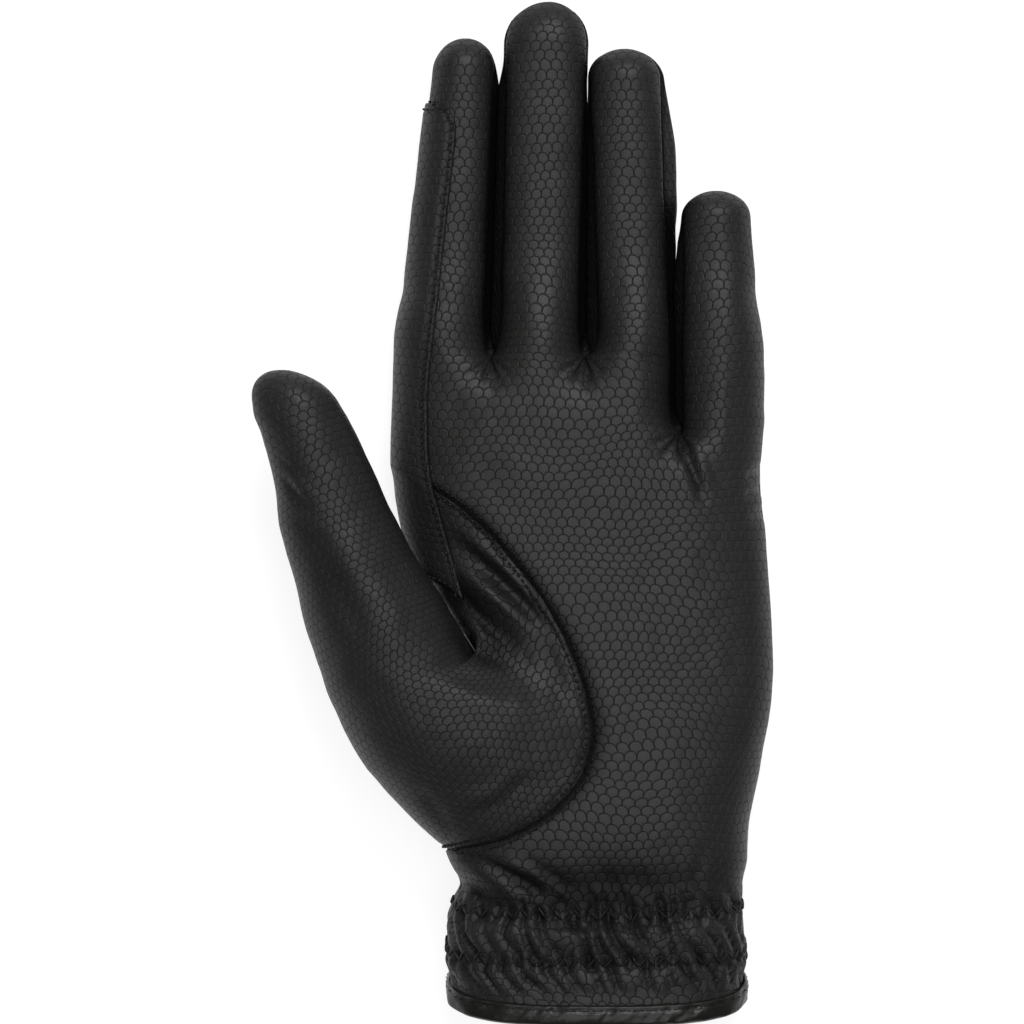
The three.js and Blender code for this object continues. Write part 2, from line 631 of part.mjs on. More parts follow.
// Binding: a folded channel whose slot takes the edges of both panels, swept round the hem.
function bindingGeometry() {
  const y = bodyRows[0];
  const loop = [];
  for (const panel of [1, -1]) {
    for (let k = 0; k < 4; k++) {
      for (let c = 0; c < stripColumns; c++) {
        const [strip, column] = panel > 0 ? [k, c] : [3 - k, stripColumns - c];
        const angle = mix(-90, 90, column / stripColumns);
        loop.push(stripPoint(strip, angle, y, panel, false));
      }
    }
  }
  const slotOut = bindingClearance;
  const slotIn = -panelWall - bindingClearance;
  const foot = -bindingClearance;
  const mouth = bindingHeight - bindingWall - bindingClearance;
  const outline = [
    [slotOut, mouth], [slotOut, foot], [slotIn, foot], [slotIn, mouth],
    [slotIn - bindingWall, mouth - 0.4], [slotIn - bindingWall, foot],
    [slotIn, foot - bindingWall], [slotOut, foot - bindingWall],
    [slotOut + bindingWall, foot], [slotOut + bindingWall, mouth - 0.4],
  ];
  const count = loop.length;
  const grid = [];
  for (let n = 0; n <= count; n++) {
    const point = loop[n % count];
    const along = loop[(n + 1) % count].clone().sub(loop[(n + count - 1) % count]).setY(0).normalize();
    const out = new THREE.Vector3(-along.z, 0, along.x);
    const row = [outline[0], ...[...outline].reverse()].map(([across, up]) => ({
      point: point.clone().addScaledVector(out, across).add(new THREE.Vector3(0, up, 0)),
    }));
    grid.push(row);
  }
  const skin = joinGrids([grid]);
  const geometry = new THREE.BufferGeometry();
  geometry.setAttribute(
    "position", new THREE.Float32BufferAttribute(skin.points.flatMap((p) => p.toArray()), 3));
  geometry.setIndex(skin.faces.flat());
  geometry.computeVertexNormals();
  return geometry;
}

// Assembly

const grained = new THREE.MeshStandardMaterial({ color: 0x2c2b2a, roughness: 0.62, metalness: 0 });
const smoothLeather = new THREE.MeshStandardMaterial({ color: 0x1d1b19, roughness: 0.38, metalness: 0 });

const hand = new THREE.Group();

function addPiece(name, geometry, material) {
  const mesh = new THREE.Mesh(geometry, material);
  mesh.name = name;
  hand.add(mesh);
}

addPiece("palm_panel", thicken(panelSkin(1), panelWall), grained);
addPiece("back_panel", thicken(panelSkin(-1), panelWall), grained);
CROTCHES.forEach((crotch, gap) => {
  const name = "fourchette_" + FINGERS[gap].name + "_" + FINGERS[gap + 1].name;
  addPiece(name, thicken(fourchetteSkin(gap), panelWall), grained);
});
addPiece("thumb", thicken(thumbSkin(), panelWall), grained);
addPiece("index_patch", thicken(patchSkin(), patchWall, patchClearance + patchWall), grained);
addPiece("hem_binding", bindingGeometry(), smoothLeather);

// The part's origin is the middle of its footprint, on the surface that it lies on.
const box = new THREE.Box3().setFromObject(hand);
const glove = new THREE.Group();
hand.position.set(-0.5 * (box.min.x + box.max.x), -0.5 * (box.min.y + box.max.y), -box.min.z);
glove.add(hand);

export default glove;
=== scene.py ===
"""Left-hand riding glove in scale-grained synthetic leather, lying on its back with the palm up.

Sizes are millimetres in the glove's own drawing: x towards the little finger, y from the hem along
the fingers, z out of the palm. A mesh takes them in metres, set on the middle of the footprint.
"""

import bpy
import mathutils
import numpy as np
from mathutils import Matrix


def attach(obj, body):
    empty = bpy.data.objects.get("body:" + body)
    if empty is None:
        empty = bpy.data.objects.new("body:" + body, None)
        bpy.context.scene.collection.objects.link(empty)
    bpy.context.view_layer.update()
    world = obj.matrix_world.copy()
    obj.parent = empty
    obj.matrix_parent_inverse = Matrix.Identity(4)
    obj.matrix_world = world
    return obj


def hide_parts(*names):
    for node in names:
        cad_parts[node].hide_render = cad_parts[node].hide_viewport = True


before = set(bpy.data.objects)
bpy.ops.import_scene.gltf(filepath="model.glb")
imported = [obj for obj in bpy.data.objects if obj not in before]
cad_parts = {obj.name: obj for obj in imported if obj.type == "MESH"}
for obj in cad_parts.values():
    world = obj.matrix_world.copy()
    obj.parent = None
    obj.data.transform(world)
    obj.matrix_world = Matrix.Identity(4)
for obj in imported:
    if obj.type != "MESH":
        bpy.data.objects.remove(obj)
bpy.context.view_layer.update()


# Palm panel. One cut of synthetic leather from the hem to the fronts of the four fingers, embossed
# with rounded scales. It is sewn to the back along the side, to the fourchettes between the fingers
# and round the hole of the set-in thumb, and it puckers where the seams turn in the crotches.

palm_length = 159.0
hand_width = 88.0
palm_depth = 34.0
finger_length = 85.0
finger_width = 19.6
finger_depth = 18.0
fourchette_height = 7.4
leather = 1.2
seam_gap = 0.4
hem_dip = 6.4
crotch_reach = 15.0
root_reach = 8.0
elastic_pinch = 0.9
finger_sag = 1.7
footprint = np.array([14.2457, -122.0065, 0.0])
scale_width, scale_pitch = 2.75, 2.15
settle_width = 2.4
thumb_scale_width, thumb_scale_pitch = 2.4, 1.85
fineness = 1.0


def unit(vectors):
    """Vectors made one long."""
    return vectors / np.maximum(np.linalg.norm(vectors, axis=-1, keepdims=True), 1e-9)


def length_along(path):
    """Length along a path from its first point to each of its points."""
    return np.concatenate([[0], np.cumsum(np.linalg.norm(np.diff(path, axis=0), axis=1))])


def table(names, rows):
    """A small table as named columns."""
    return dict(zip(names.split(), np.array(rows, dtype=float).T))


body_sections = table("along left right front side back dip pinch", [
    (0, -.326, .46, .99, .49, .037, 1, 0),
    (.04, -.326, .46, 1, .48, .037, 1, 0),
    (.072, -.338, .47, 1, .47, -.04, .75, 0),
    (.095, -.347, .477, .99, .47, -.04, .6, 1),
    (.132, -.332, .459, 1, .46, -.05, .5, 0),
    (.169, -.328, .469, .95, .45, -.05, .36, 1),
    (.2, -.304, .464, .95, .44, -.05, .2, 0),
    (.245, -.335, .475, .97, .43, -.05, .05, 0),
    (.289, -.36, .479, .97, .42, -.05, 0, 0),
    (.386, -.4, .511, .95, .4, -.05, 0, 0),
    (.53, -.44, .546, .88, .38, -.05, 0, 0),
    (.627, -.462, .537, .84, .36, -.05, 0, 0),
    (.723, -.472, .527, .8, .33, -.05, 0, 0),
    (.819, -.475, .511, .77, .3, -.05, 0, 0),
    (.916, -.475, .5215, .74, .28, -.05, 0, 0),
    (1, -.474, .5215, .71, .27, -.05, 0, 0),
])
fingers = table("base centre tip length width taper round lean clear", [
    (1, -.3566, -.289, .896, 1.007, .273, .38, 0, 0),
    (1, -.091, -.068, 1, .95, -.06, .54, .06, .72),
    (1, .168, .14, .867, .87, 0, .37, .17, .2),
    (.886, .41, .391, .68, 1.02, .19, .33, 0, 0),
])
crotch_along = np.array([1, 1, .886])
crotch_across = np.array([.256, .511, .776])
thumb_hole_front = table("turn across along", [
    (0, -.486, .84), (12, -.382, .801), (22, -.292, .767), (32, -.196, .715), (43, -.101, .648),
    (54, -.019, .572), (65, .03, .497), (76, .049, .437), (88, .03, .384), (100, -.025, .339),
    (115, -.115, .3), (130, -.21, .276), (150, -.29, .266), (180, -.343, .259),
])
thumb_hole_back = table("turn across along", [
    (180, -.343, .259), (187, -.338, .266), (193, -.33, .276), (205, -.31, .3), (230, -.27, .384),
    (255, -.235, .497), (280, -.225, .572), (305, -.24, .648), (325, -.285, .715),
    (339, -.345, .767), (349, -.4, .801), (360, -.486, .84),
])


def look_up(rows, key, column, at):
    """Column of a table at a key: a cubic between rows, whose slope at a row is the harmonic mean
    of the slopes on its two sides, and zero where those change sign."""
    x, y = rows[key], rows[column]
    if x[0] > x[-1]:
        x, y = x[::-1], y[::-1]
    step = np.diff(x)
    slope = np.diff(y) / step
    product = slope[:-1] * slope[1:]
    total = slope[:-1] + slope[1:]
    inner = np.where(product > 0, 2 * product / np.where(product > 0, total, 1), 0)
    tangent = np.concatenate([slope[:1], inner, slope[-1:]])
    at = np.clip(at, x[0], x[-1])
    i = np.clip(np.searchsorted(x, at, side="right") - 1, 0, len(step) - 1)
    t = (at - x[i]) / step[i]
    curl = step[i] * t * (1 - t) * ((1 - t) * tangent[i] - t * tangent[i + 1])
    return y[i] + (y[i + 1] - y[i]) * t * t * (3 - 2 * t) + curl


def mix(a, b, share):
    """a where share is 0, b where it is 1."""
    return a + (b - a) * share


def smooth(share):
    """3t^2 - 2t^3 of the share held between 0 and 1."""
    t = np.clip(share, 0, 1)
    return t * t * (3 - 2 * t)


def arch(place, squareness):
    """Height of a rounded section at a place from -1 to 1: (1 - |place|^p)^(1/p)."""
    inside = np.clip(1 - np.abs(place) ** squareness, 0, None)
    return inside ** (1 / squareness)


def section(column, y):
    """Column of the body's sections at a height y over the hem."""
    return look_up(body_sections, "along", column, y / palm_length)


def body_left(y):
    """x of the body's left side: the section's share of the hand's width."""
    return section("left", y) * hand_width


def body_right(y):
    """x of the body's right side, likewise."""
    return section("right", y) * hand_width


def side_height(y):
    """z of the body's side seams: the section's share of the palm's depth."""
    return section("side", y) * palm_depth


def left_edge(y, panel):
    """Left edge of the palm (panel 1) or back (-1): the body's side, or the thumb hole's edge."""
    hole = thumb_hole_front if panel > 0 else thumb_hole_back
    along = y / palm_length
    inside = (along > hole["along"].min()) & (along < hole["along"].max())
    seam = look_up(hole, "along", "across", along) * hand_width
    return np.where(inside, np.maximum(body_left(y), seam), body_left(y))


def finger_tip(k):
    """y of the end of finger k: its base's share of the palm plus its share of a finger."""
    return fingers["base"][k] * palm_length + fingers["length"][k] * finger_length


def finger_share(k, y):
    """How far up finger k a height is: 0 at its base, 1 at its tip."""
    return (y - fingers["base"][k] * palm_length) / (fingers["length"][k] * finger_length)


def dome(k, y):
    """1 along finger k, falling as a quarter of an ellipse to 0 over its rounded tip."""
    reach = fingers["round"][k] * finger_width
    into = np.clip((y - (finger_tip(k) - reach)) / reach, 0, 1)
    return np.sqrt(1 - into * into)


def side_wall_half(k, y):
    """Half the height of the side walls between two fingers, tapering out towards the tip."""
    taper = mix(.25, 1, smooth((.96 - finger_share(k, y)) / .3))
    return .5 * fourchette_height * taper * dome(k, y)


def is_outer(k, hand):
    """Whether a side of finger k (hand -1 left, 1 right) is a side of the whole hand."""
    return (k == 0 and hand < 0) or (k == 3 and hand > 0)


def strip_edge(k, hand, y, panel, hole=True):
    """x of one edge (hand -1 left, 1 right) of finger strip k. Up to the crotch the strips share
    the body's width; above it the edge leaves for the finger's own width over a quarter circle."""
    boundary = k - 1 if hand < 0 else k
    outer = is_outer(k, hand)
    top = palm_length * (1 if outer else crotch_along[boundary])
    at = np.minimum(y, top)
    left = left_edge(at, panel) if hole else body_left(at)
    right = body_right(at)
    if outer:
        share = 0.0 if hand < 0 else 1.0
    else:
        share = mix((boundary + 1) / 4, crotch_across[boundary], at / top)
    start = mix(left, right, share)
    wall = side_wall_half(k, y) / (.5 * fourchette_height)
    free = smooth((finger_share(k, y) - fingers["clear"][k]) / .3)
    lean = fingers["lean"][k] * finger_width * wall * free if panel < 0 and hand > 0 else 0
    place = np.clip(finger_share(k, y), 0, 1)
    axis = mix(fingers["centre"][k], fingers["tip"][k], place) * hand_width
    half = .5 * fingers["width"][k] * finger_width * (1 - fingers["taper"][k] * finger_share(k, y))
    own = axis + hand * half * dome(k, y) + lean
    rise = np.clip((y - top) / root_reach, 0, 1)
    share = smooth(.5 * (y - top) / root_reach) if outer else np.sqrt(rise * (2 - rise))
    return np.where(y <= top, start, mix(start, own, share))


def slit(k, hand, y):
    """How much of the dent beside finger k there is: 0 on the palm, 1 above the crotch."""
    if is_outer(k, hand):
        return smooth((y - palm_length + crotch_reach) / (2 * crotch_reach))
    crotch = crotch_along[k - 1 if hand < 0 else k] * palm_length
    return np.clip((y - crotch + crotch_reach) / crotch_reach, 0, 1) ** 3


def edge_height(k, hand, y, panel):
    """z of a strip's edge, half a side wall above or below the middle of the finger's side."""
    middle = mix(side_height(np.minimum(y, palm_length)), .48 * finger_depth,
                 smooth((y - palm_length + crotch_reach) / (3 * crotch_reach)))
    wall = 0 if is_outer(k, hand) else side_wall_half(k, y)
    return middle + panel * (wall + .5 * seam_gap)


def body_height(x, y, panel):
    """z of the palm or back over the body's section: side height plus an arch across the width."""
    left, right = body_left(y), body_right(y)
    place = np.clip((2 * x - left - right) / (right - left), -1, 1)
    side = side_height(y) + .5 * panel * seam_gap
    crest = section("front" if panel > 0 else "back", y) * palm_depth
    return mix(side, crest, arch(place, 2.9 if panel > 0 else 4))


def finger_crest(k, y, panel):
    """z of the highest line of finger k, above the palm or under the back."""
    root = np.minimum(y, palm_length)
    axis = .5 * (strip_edge(k, -1, root, panel, False) + strip_edge(k, 1, root, panel, False))
    start = body_height(axis, root, panel)
    own = finger_depth * (1 - .08 * finger_share(k, y)) if panel > 0 else -finger_sag
    crest = mix(start, own, smooth((y - palm_length) / (2 * crotch_reach)))
    tip = edge_height(k, -1, finger_tip(k), panel)
    return np.where(y <= palm_length, start, mix(tip, crest, dome(k, y)))


def strip_surface(k, angle, y, panel, hole=True):
    """Points of finger strip k at angles from -90 to 90 degrees across it and heights y."""
    angle, y = np.broadcast_arrays(np.asarray(angle, float), np.asarray(y, float))
    left, right = strip_edge(k, -1, y, panel, hole), strip_edge(k, 1, y, panel, hole)
    low = angle < 0
    cut = np.where(low, slit(k, -1, y), slit(k, 1, y))
    turned = np.sin(np.radians(angle))
    outer = np.where(low, is_outer(k, -1), is_outer(k, 1))
    place = mix(angle / 90, turned, np.where(outer, 1, cut))
    x = mix(left, right, .5 + .5 * place)
    edge = np.where(low, edge_height(k, -1, y, panel), edge_height(k, 1, y, panel))
    finger = mix(edge, finger_crest(k, y, panel), arch(turned, 2.2))
    z = mix(body_height(x, np.minimum(y, palm_length), panel), finger, cut)
    side = side_height(np.minimum(y, palm_length))
    forward = (z - side) / (section("front", y) * palm_depth - side)
    dip = section("dip", y) * hem_dip * (1 - (forward if panel > 0 else .4 * forward))
    return np.stack([x, y + dip, z], axis=-1)


def soft_noise(u, v, size, seed):
    """Smooth random height between about -1 and 1: a lattice of random numbers, one every size,
    blended with 3t^2 - 2t^3 along both ways."""
    lattice = np.random.default_rng(seed).uniform(-1, 1, (128, 128))
    i, j = np.floor(u / size).astype(int), np.floor(v / size).astype(int)
    a, b = smooth(u / size - i), smooth(v / size - j)
    i, j, i1, j1 = i % 128, j % 128, (i + 1) % 128, (j + 1) % 128
    return mix(mix(lattice[i, j], lattice[i1, j], a), mix(lattice[i, j1], lattice[i1, j1], a), b)


def plan(points):
    """Points read off a plan of the palm drawn at 0.24 mm a unit, with its rows from the fingertips
    down, as millimetres of the drawing."""
    return (np.array(points, float) - (571.7, 1021.0)) * (.24, -.24)


def path_distance(x, y, path):
    """Distance of each place from an open path, and how far along the path (0 to 1) its foot is."""
    best = np.full(np.shape(x), 1e9)
    along = np.zeros(np.shape(x))
    ends = np.linalg.norm(np.diff(path, axis=0), axis=1)
    before = np.concatenate([[0], np.cumsum(ends)])
    for n, (start, stop) in enumerate(zip(path[:-1], path[1:])):
        run = stop - start
        t = np.clip(((x - start[0]) * run[0] + (y - start[1]) * run[1]) / (run @ run), 0, 1)
        away = np.hypot(x - start[0] - t * run[0], y - start[1] - t * run[1])
        nearer = away < best
        best = np.where(nearer, away, best)
        along = np.where(nearer, (before[n] + t * ends[n]) / before[-1], along)
    return best, along


def fold_bells(x, y, rows, widen=1.0):
    """Each fold's depth with a bell of its own width across its path, which fades out at the path's
    two ends as sin^0.6."""
    for depth, width, points in rows:
        away, along = path_distance(x, y, plan(points))
        fade = np.sin(np.pi * np.clip(along, .04, .96)) ** .6
        yield depth, np.exp(-(away / (widen * width)) ** 2) * fade


def folds(x, y, rows):
    """Height of creases (negative) and ridges (positive): the sum of depth times bell."""
    return sum(depth * bell for depth, bell in fold_bells(x, y, rows))


def crease_shade(x, y, rows):
    """Painted shade in the creases of a list of folds: .42 of their depth, .85 at most."""
    dark = sum(max(-depth, 0) * .42 * bell for depth, bell in fold_bells(x, y, rows, 1.2))
    return np.clip(dark, 0, .85)


palm_folds = [
    # crease below the crotch of the ring and little fingers
    (-1.0, 1.3, [(677, 438), (684, 455), (694, 478), (701, 502)]),
    (.5, 1.5, [(668, 440), (676, 462), (688, 490)]),
    (.4, 1.6, [(690, 440), (699, 465), (708, 495)]),
    # wrist folds under the ball of the thumb
    (1.4, 2.2, [(462, 858), (490, 876), (520, 893), (552, 910)]),
    (-1.1, 1.4, [(455, 846), (492, 862), (530, 884), (562, 906)]),
    (-1.1, 1.5, [(456, 878), (484, 896), (512, 910)]),
    (.6, 1.4, [(500, 856), (535, 872), (570, 900)]),
    (-.5, 1.4, [(530, 858), (562, 880), (590, 904)]),
    # the hollow of the wrist above the cuff
    (-1.6, 8.5, [(500, 895), (600, 895), (715, 895)]),
    (-.3, 1.4, [(600, 862), (612, 880), (618, 902)]),
    (.3, 1.8, [(640, 850), (652, 876), (656, 902)]),
    (-.3, 1.6, [(700, 850), (694, 876), (698, 902)]),
    # side dents on the little-finger edge
    (-.7, 1.3, [(768, 470), (756, 474), (744, 482)]),
    (-.7, 1.3, [(768, 486), (754, 492), (742, 500)]),
    (-.5, 1.5, [(770, 512), (757, 516), (746, 520)]),
    # broad soft waves of the palm
    (-.6, 9.0, [(560, 500), (640, 560), (690, 640), (700, 740)]),
    (.5, 5.0, [(480, 440), (520, 470), (580, 500)]),
    (-.4, 4.0, [(600, 640), (640, 700), (640, 780)]),
]
palm_creases = palm_folds[:11]  # the ones deep enough to get painted shade
crotch_points = plan([(490, 360), (584, 358), (676, 434)])


def crotch_puckers(x, y):
    """Small creases that fan out below each crotch: a wave round the crotch that dies away with the
    distance from it."""
    height = np.zeros(np.shape(x))
    for n, (cx, cy) in enumerate(crotch_points):
        away = np.hypot(x - cx, y - cy)
        around = np.arctan2(x - cx, cy - y)
        wave = np.cos(around * 11 + 1.3 * n + .8 * soft_noise(x, y, 4, 20 + n))
        below = smooth((cy + 1.5 - y) / 3)
        sharp = np.sign(wave) * np.abs(wave) ** .8
        ring = np.exp(-((away - 2.8) / 3.2) ** 2) * np.exp(-around ** 2 / 2.6)
        height += .42 * sharp * ring * below
    return height


zigzag_rows = (15.1, 26.6)


def cuff_gathers(u, y, lean=.6):
    """Gathers of the elasticated cuff: rounded folds with sharp clefts between them, 5 to 6 mm
    apart and slanting, as |cos|^0.6, that break off here and there and bunch up at the zigzag
    rows. Gives their height and the painted shade of their clefts and of the zigzag rows."""
    here = smooth((y - 6.5) / 4) * smooth((34.5 - y) / 6)
    drift = u + lean * (y - 20) + 1.8 * soft_noise(u, y, 7, 31)
    fold = np.abs(np.cos(np.pi * drift / 5.6 + 1.1 * soft_noise(u, y * .3, 9, 32))) ** .6 - .6
    close = sum(np.exp(-((y - row) / 2.2) ** 2) for row in zigzag_rows)
    bunch = np.abs(np.cos(np.pi * (u + .8 * soft_noise(u, y, 5, 33)) / 4.2)) ** .6 - .6
    broken = .8 + .5 * soft_noise(u, y, 4, 34)
    height = here * (1.7 * fold * broken * (1 - .3 * np.clip(close, 0, 1)) + 1.1 * bunch * close)
    # Painted shade in the clefts of the gathers and along the zigzag rows.
    cleft = np.clip(1 - (fold + .6) / .6, 0, 1) * np.clip(broken, 0, 1) + .45 * np.clip(close, 0, 1)
    return height, np.clip(here * cleft, 0, .9)


def body_relief(points, u, panel):
    """Height of the folds over the panel's plain shape: gathers, puckers and creases."""
    x, y = points[..., 0], points[..., 1]
    height, _ = cuff_gathers(u, y, .6 if panel > 0 else -.3)
    height += .18 * soft_noise(x, y, 9, 41) + .1 * soft_noise(x, y, 3.5, 42)
    if panel > 0:
        height += folds(x, y, palm_folds) + crotch_puckers(x, y)
    return height


def arc_across(grid):
    """Length along each row of a grid from its first point."""
    step = np.linalg.norm(np.diff(grid, axis=1), axis=-1)
    return np.concatenate([np.zeros((len(grid), 1)), np.cumsum(step, axis=1)], axis=1)


def arc_along(grid):
    """Length along each column of a grid from its first row."""
    return arc_across(np.swapaxes(grid, 0, 1)).T


def join(grids):
    """One open surface from grids of points. Points at the same place become one, and faces that
    close up at a pole are left out. Gives points, faces, the grids' own numbers of the same
    corners, and each grid's point numbers."""
    flat = np.concatenate([grid.reshape(-1, 3) for grid in grids])
    _, first, number = np.unique(np.round(flat, 3), axis=0, return_index=True, return_inverse=True)
    number = number.ravel()
    corners, parts, start = [], [], 0
    for grid in grids:
        rows, columns = grid.shape[:2]
        own = np.arange(start, start + rows * columns).reshape(rows, columns)
        start += rows * columns
        a, b, d, e = own[:-1, :-1], own[:-1, 1:], own[1:, :-1], own[1:, 1:]
        corners.append(np.concatenate([np.stack([a, b, e], -1).reshape(-1, 3),
                                       np.stack([a, e, d], -1).reshape(-1, 3)]))
        parts.append(number[own])
    corners = np.concatenate(corners)
    faces = number[corners]
    whole = (faces != np.roll(faces, 1, axis=1)).all(axis=1)
    return flat[first], faces[whole], corners[whole], parts


def point_normals(points, faces):
    """Unit normal at each point: the sum of its faces' area normals, made one long."""
    a, b, c = (points[faces[:, n]] for n in range(3))
    area = np.cross(b - a, c - a)
    total = np.zeros_like(points)
    for n in range(3):
        for axis in range(3):
            total[:, axis] += np.bincount(faces[:, n], area[:, axis], len(points))
    return unit(total)


def flat_pattern(points, faces, start, rounds=24):
    """Flat cutting pattern of a panel. Every triangle keeps its true shape and may only turn: each
    round finds the turn of each triangle that fits the pattern best, then the pattern that fits
    those turned triangles best, with cotangent weights."""
    a, b, c = (points[faces[:, n]] for n in range(3))
    along = np.linalg.norm(b - a, axis=1)
    ahead = (b - a) / along[:, None]
    area = np.cross(b - a, c - a)
    double = np.linalg.norm(area, axis=1)
    local = np.zeros((len(faces), 3, 2))
    local[:, 1, 0] = along
    local[:, 2, 0] = np.sum((c - a) * ahead, axis=1)
    local[:, 2, 1] = double / along
    to_next, to_last = np.roll(local, -1, axis=1) - local, np.roll(local, 1, axis=1) - local
    weight = np.clip(np.sum(to_next * to_last, axis=2) / double[:, None], .02, 20)
    count = len(points)
    system = np.zeros((count, count))
    for n in range(3):
        p, q = faces[:, (n + 1) % 3], faces[:, (n + 2) % 3]
        np.add.at(system, (p, q), -weight[:, n])
        np.add.at(system, (q, p), -weight[:, n])
        np.add.at(system, (p, p), weight[:, n])
        np.add.at(system, (q, q), weight[:, n])
    system[0, 0] += 1
    inverse = np.linalg.inv(system + 1e-9 * np.eye(count))
    flat = start.copy()
    for _ in range(rounds):
        cos, sin = np.zeros(len(faces)), np.zeros(len(faces))
        for n in range(3):
            own = local[:, (n + 2) % 3] - local[:, (n + 1) % 3]
            laid = flat[faces[:, (n + 2) % 3]] - flat[faces[:, (n + 1) % 3]]
            cos += weight[:, n] * np.sum(own * laid, axis=1)
            sin += weight[:, n] * (own[:, 0] * laid[:, 1] - own[:, 1] * laid[:, 0])
        size = np.maximum(np.hypot(cos, sin), 1e-12)
        cos, sin = cos / size, sin / size
        wanted = np.zeros((count, 2))
        for n in range(3):
            own = local[:, (n + 2) % 3] - local[:, (n + 1) % 3]
            turned = weight[:, n:n + 1] * np.stack([cos * own[:, 0] - sin * own[:, 1],
                                                    sin * own[:, 0] + cos * own[:, 1]], -1)
            for axis in range(2):
                wanted[:, axis] += np.bincount(faces[:, (n + 2) % 3], turned[:, axis], count)
                wanted[:, axis] -= np.bincount(faces[:, (n + 1) % 3], turned[:, axis], count)
        flat = inverse @ wanted
    return flat


def thinned(count, step):
    """Every step-th number below count, and always the last."""
    kept = list(range(0, count, step))
    return np.array(kept if kept[-1] == count - 1 else kept + [count - 1])


def spread(coarse, kept_rows, kept_columns, rows, columns):
    """Values known at some rows and columns of a grid, blended evenly over the whole grid."""
    down, across = (
        np.array([np.interp(np.arange(count), kept, one) for one in np.eye(len(kept))])
        for count, kept in ((rows, kept_rows), (columns, kept_columns)))
    return np.stack([down.T @ coarse[..., n] @ across for n in range(2)], axis=-1)


def lay_pattern(grids, starts=None, step=6, cut=0.0, rounds=24):
    """Pattern places for every point of a panel's grids, worked out on a thinner copy of them from
    a first guess, which is their plan. A cut sets the last column apart, to open a tube there."""
    starts = [grid[..., :2] for grid in grids] if starts is None else starts
    rows = [thinned(grid.shape[0], step) for grid in grids]
    columns = [thinned(grid.shape[1], step) for grid in grids]
    thin = [grid[np.ix_(r, c)] for grid, r, c in zip(grids, rows, columns)]
    thin[-1][:, -1] += cut
    points, faces, _, parts = join(thin)
    guess = np.zeros((len(points), 2))
    for part, start, r, c in zip(parts, starts, rows, columns):
        guess[part.ravel()] = start[np.ix_(r, c)].reshape(-1, 2)
    flat = flat_pattern(points, faces, guess, rounds)
    moved = [flat[part] - start[np.ix_(r, c)]
             for part, start, r, c in zip(parts, starts, rows, columns)]
    return [start + spread(move, r, c, *grid.shape[:2])
            for move, start, r, c, grid in zip(moved, starts, rows, columns, grids)]


def add_mesh(name, points, faces, places, finish, inner=None, sewn=None):
    """A mesh object from points in drawing millimetres, the pattern place of every face corner in
    the map 'grain', the outer finish, the backing on the faces that are marked as inner, and in
    'sewn' the painted shade of each point: how dark it is painted, 1 at a sewn edge."""
    inner = np.zeros(len(faces), bool) if inner is None else inner
    sewn = np.zeros(len(points)) if sewn is None else sewn
    mesh = bpy.data.meshes.new(name)
    mesh.vertices.add(len(points))
    mesh.vertices.foreach_set("co", ((points + footprint) * .001).ravel())
    mesh.loops.add(faces.size)
    mesh.loops.foreach_set("vertex_index", faces.ravel().astype(np.int32))
    mesh.polygons.add(len(faces))
    mesh.polygons.foreach_set("loop_start", np.arange(0, faces.size, 3, dtype=np.int32))
    mesh.polygons.foreach_set("use_smooth", np.ones(len(faces), dtype=bool))
    mesh.polygons.foreach_set("material_index", inner.astype(np.int32))
    grain = mesh.uv_layers.new(name="grain")
    grain.data.foreach_set("uv", places.reshape(-1).astype(np.float32))
    mesh.update(calc_edges=True)
    # The attribute 'sewn' holds the painted shade of each point, which the leather finish reads.
    mesh.attributes.new("sewn", "FLOAT", "POINT").data.foreach_set("value", sewn.astype(np.float32))
    mesh.materials.append(finish)
    if inner.any():
        mesh.materials.append(backing)
    piece = bpy.data.objects.new(name, mesh)
    bpy.context.scene.collection.objects.link(piece)
    return piece


def near_to(away, width):
    """1 at a sewn edge, falling as a bell over the distance from it."""
    return np.exp(-(away / width) ** 2)


def panel_piece(name, grids, places, finish, relief, shade, wall=leather, lift=0.0, upright=None):
    """A sewn panel: its grids joined into one skin, raised by the relief along its normals, with a
    copy about a wall's thickness inside it and a rim all round. Shade is the painted shade it
    gets, in creases and at its sewn edges, kept in the attribute 'sewn'. The normals of upright
    points are kept level."""
    points, faces, corners, parts = join(grids)
    normals = point_normals(points, faces)
    height, sewn = np.zeros(len(points)), np.zeros(len(points))
    flat = np.concatenate([place.reshape(-1, 2) for place in places])
    level = np.zeros(len(points), dtype=bool)
    for n, part in enumerate(parts):
        height[part.ravel()] = relief[n].ravel()
        # sewn takes the painted shade of each point.
        sewn[part.ravel()] = shade[n].ravel()
        if upright is not None:
            level[part.ravel()] |= upright[n].ravel()
    normals[level, 2] = 0
    normals = unit(normals)
    outer = points + normals * (height + lift)[:, None]
    depth = np.minimum(np.minimum(height, 0) * .3 - wall, height - .6 * wall)
    inside = points + normals * (depth + lift)[:, None]
    outer[:, 2] = np.maximum(outer[:, 2], 0)
    inside[:, 2] = np.maximum(inside[:, 2], wall)
    sides = [[0, 1], [1, 2], [2, 0]]
    pairs = np.concatenate([faces[:, side] for side in sides])
    ends = np.concatenate([corners[:, side] for side in sides])
    count = len(points)
    code, back = pairs[:, 0] * count + pairs[:, 1], pairs[:, 1] * count + pairs[:, 0]
    rim = ~np.isin(code, back)
    a, b = pairs[rim].T
    p, q = ends[rim].T
    walls = np.concatenate([np.stack([b, a, a + count], -1),
                            np.stack([b, a + count, b + count], -1)])
    laid = np.concatenate([corners, np.stack([q, p, p], -1), np.stack([q, p, q], -1),
                           corners[:, ::-1]])
    every = np.concatenate([faces, walls, faces[:, ::-1] + count])
    inner = np.arange(len(every)) >= len(faces) + len(walls)
    piece = add_mesh(name, np.concatenate([outer, inside]), every, flat[laid], finish, inner,
                     np.concatenate([sewn, sewn]))
    return piece, outer, point_normals(outer, faces)


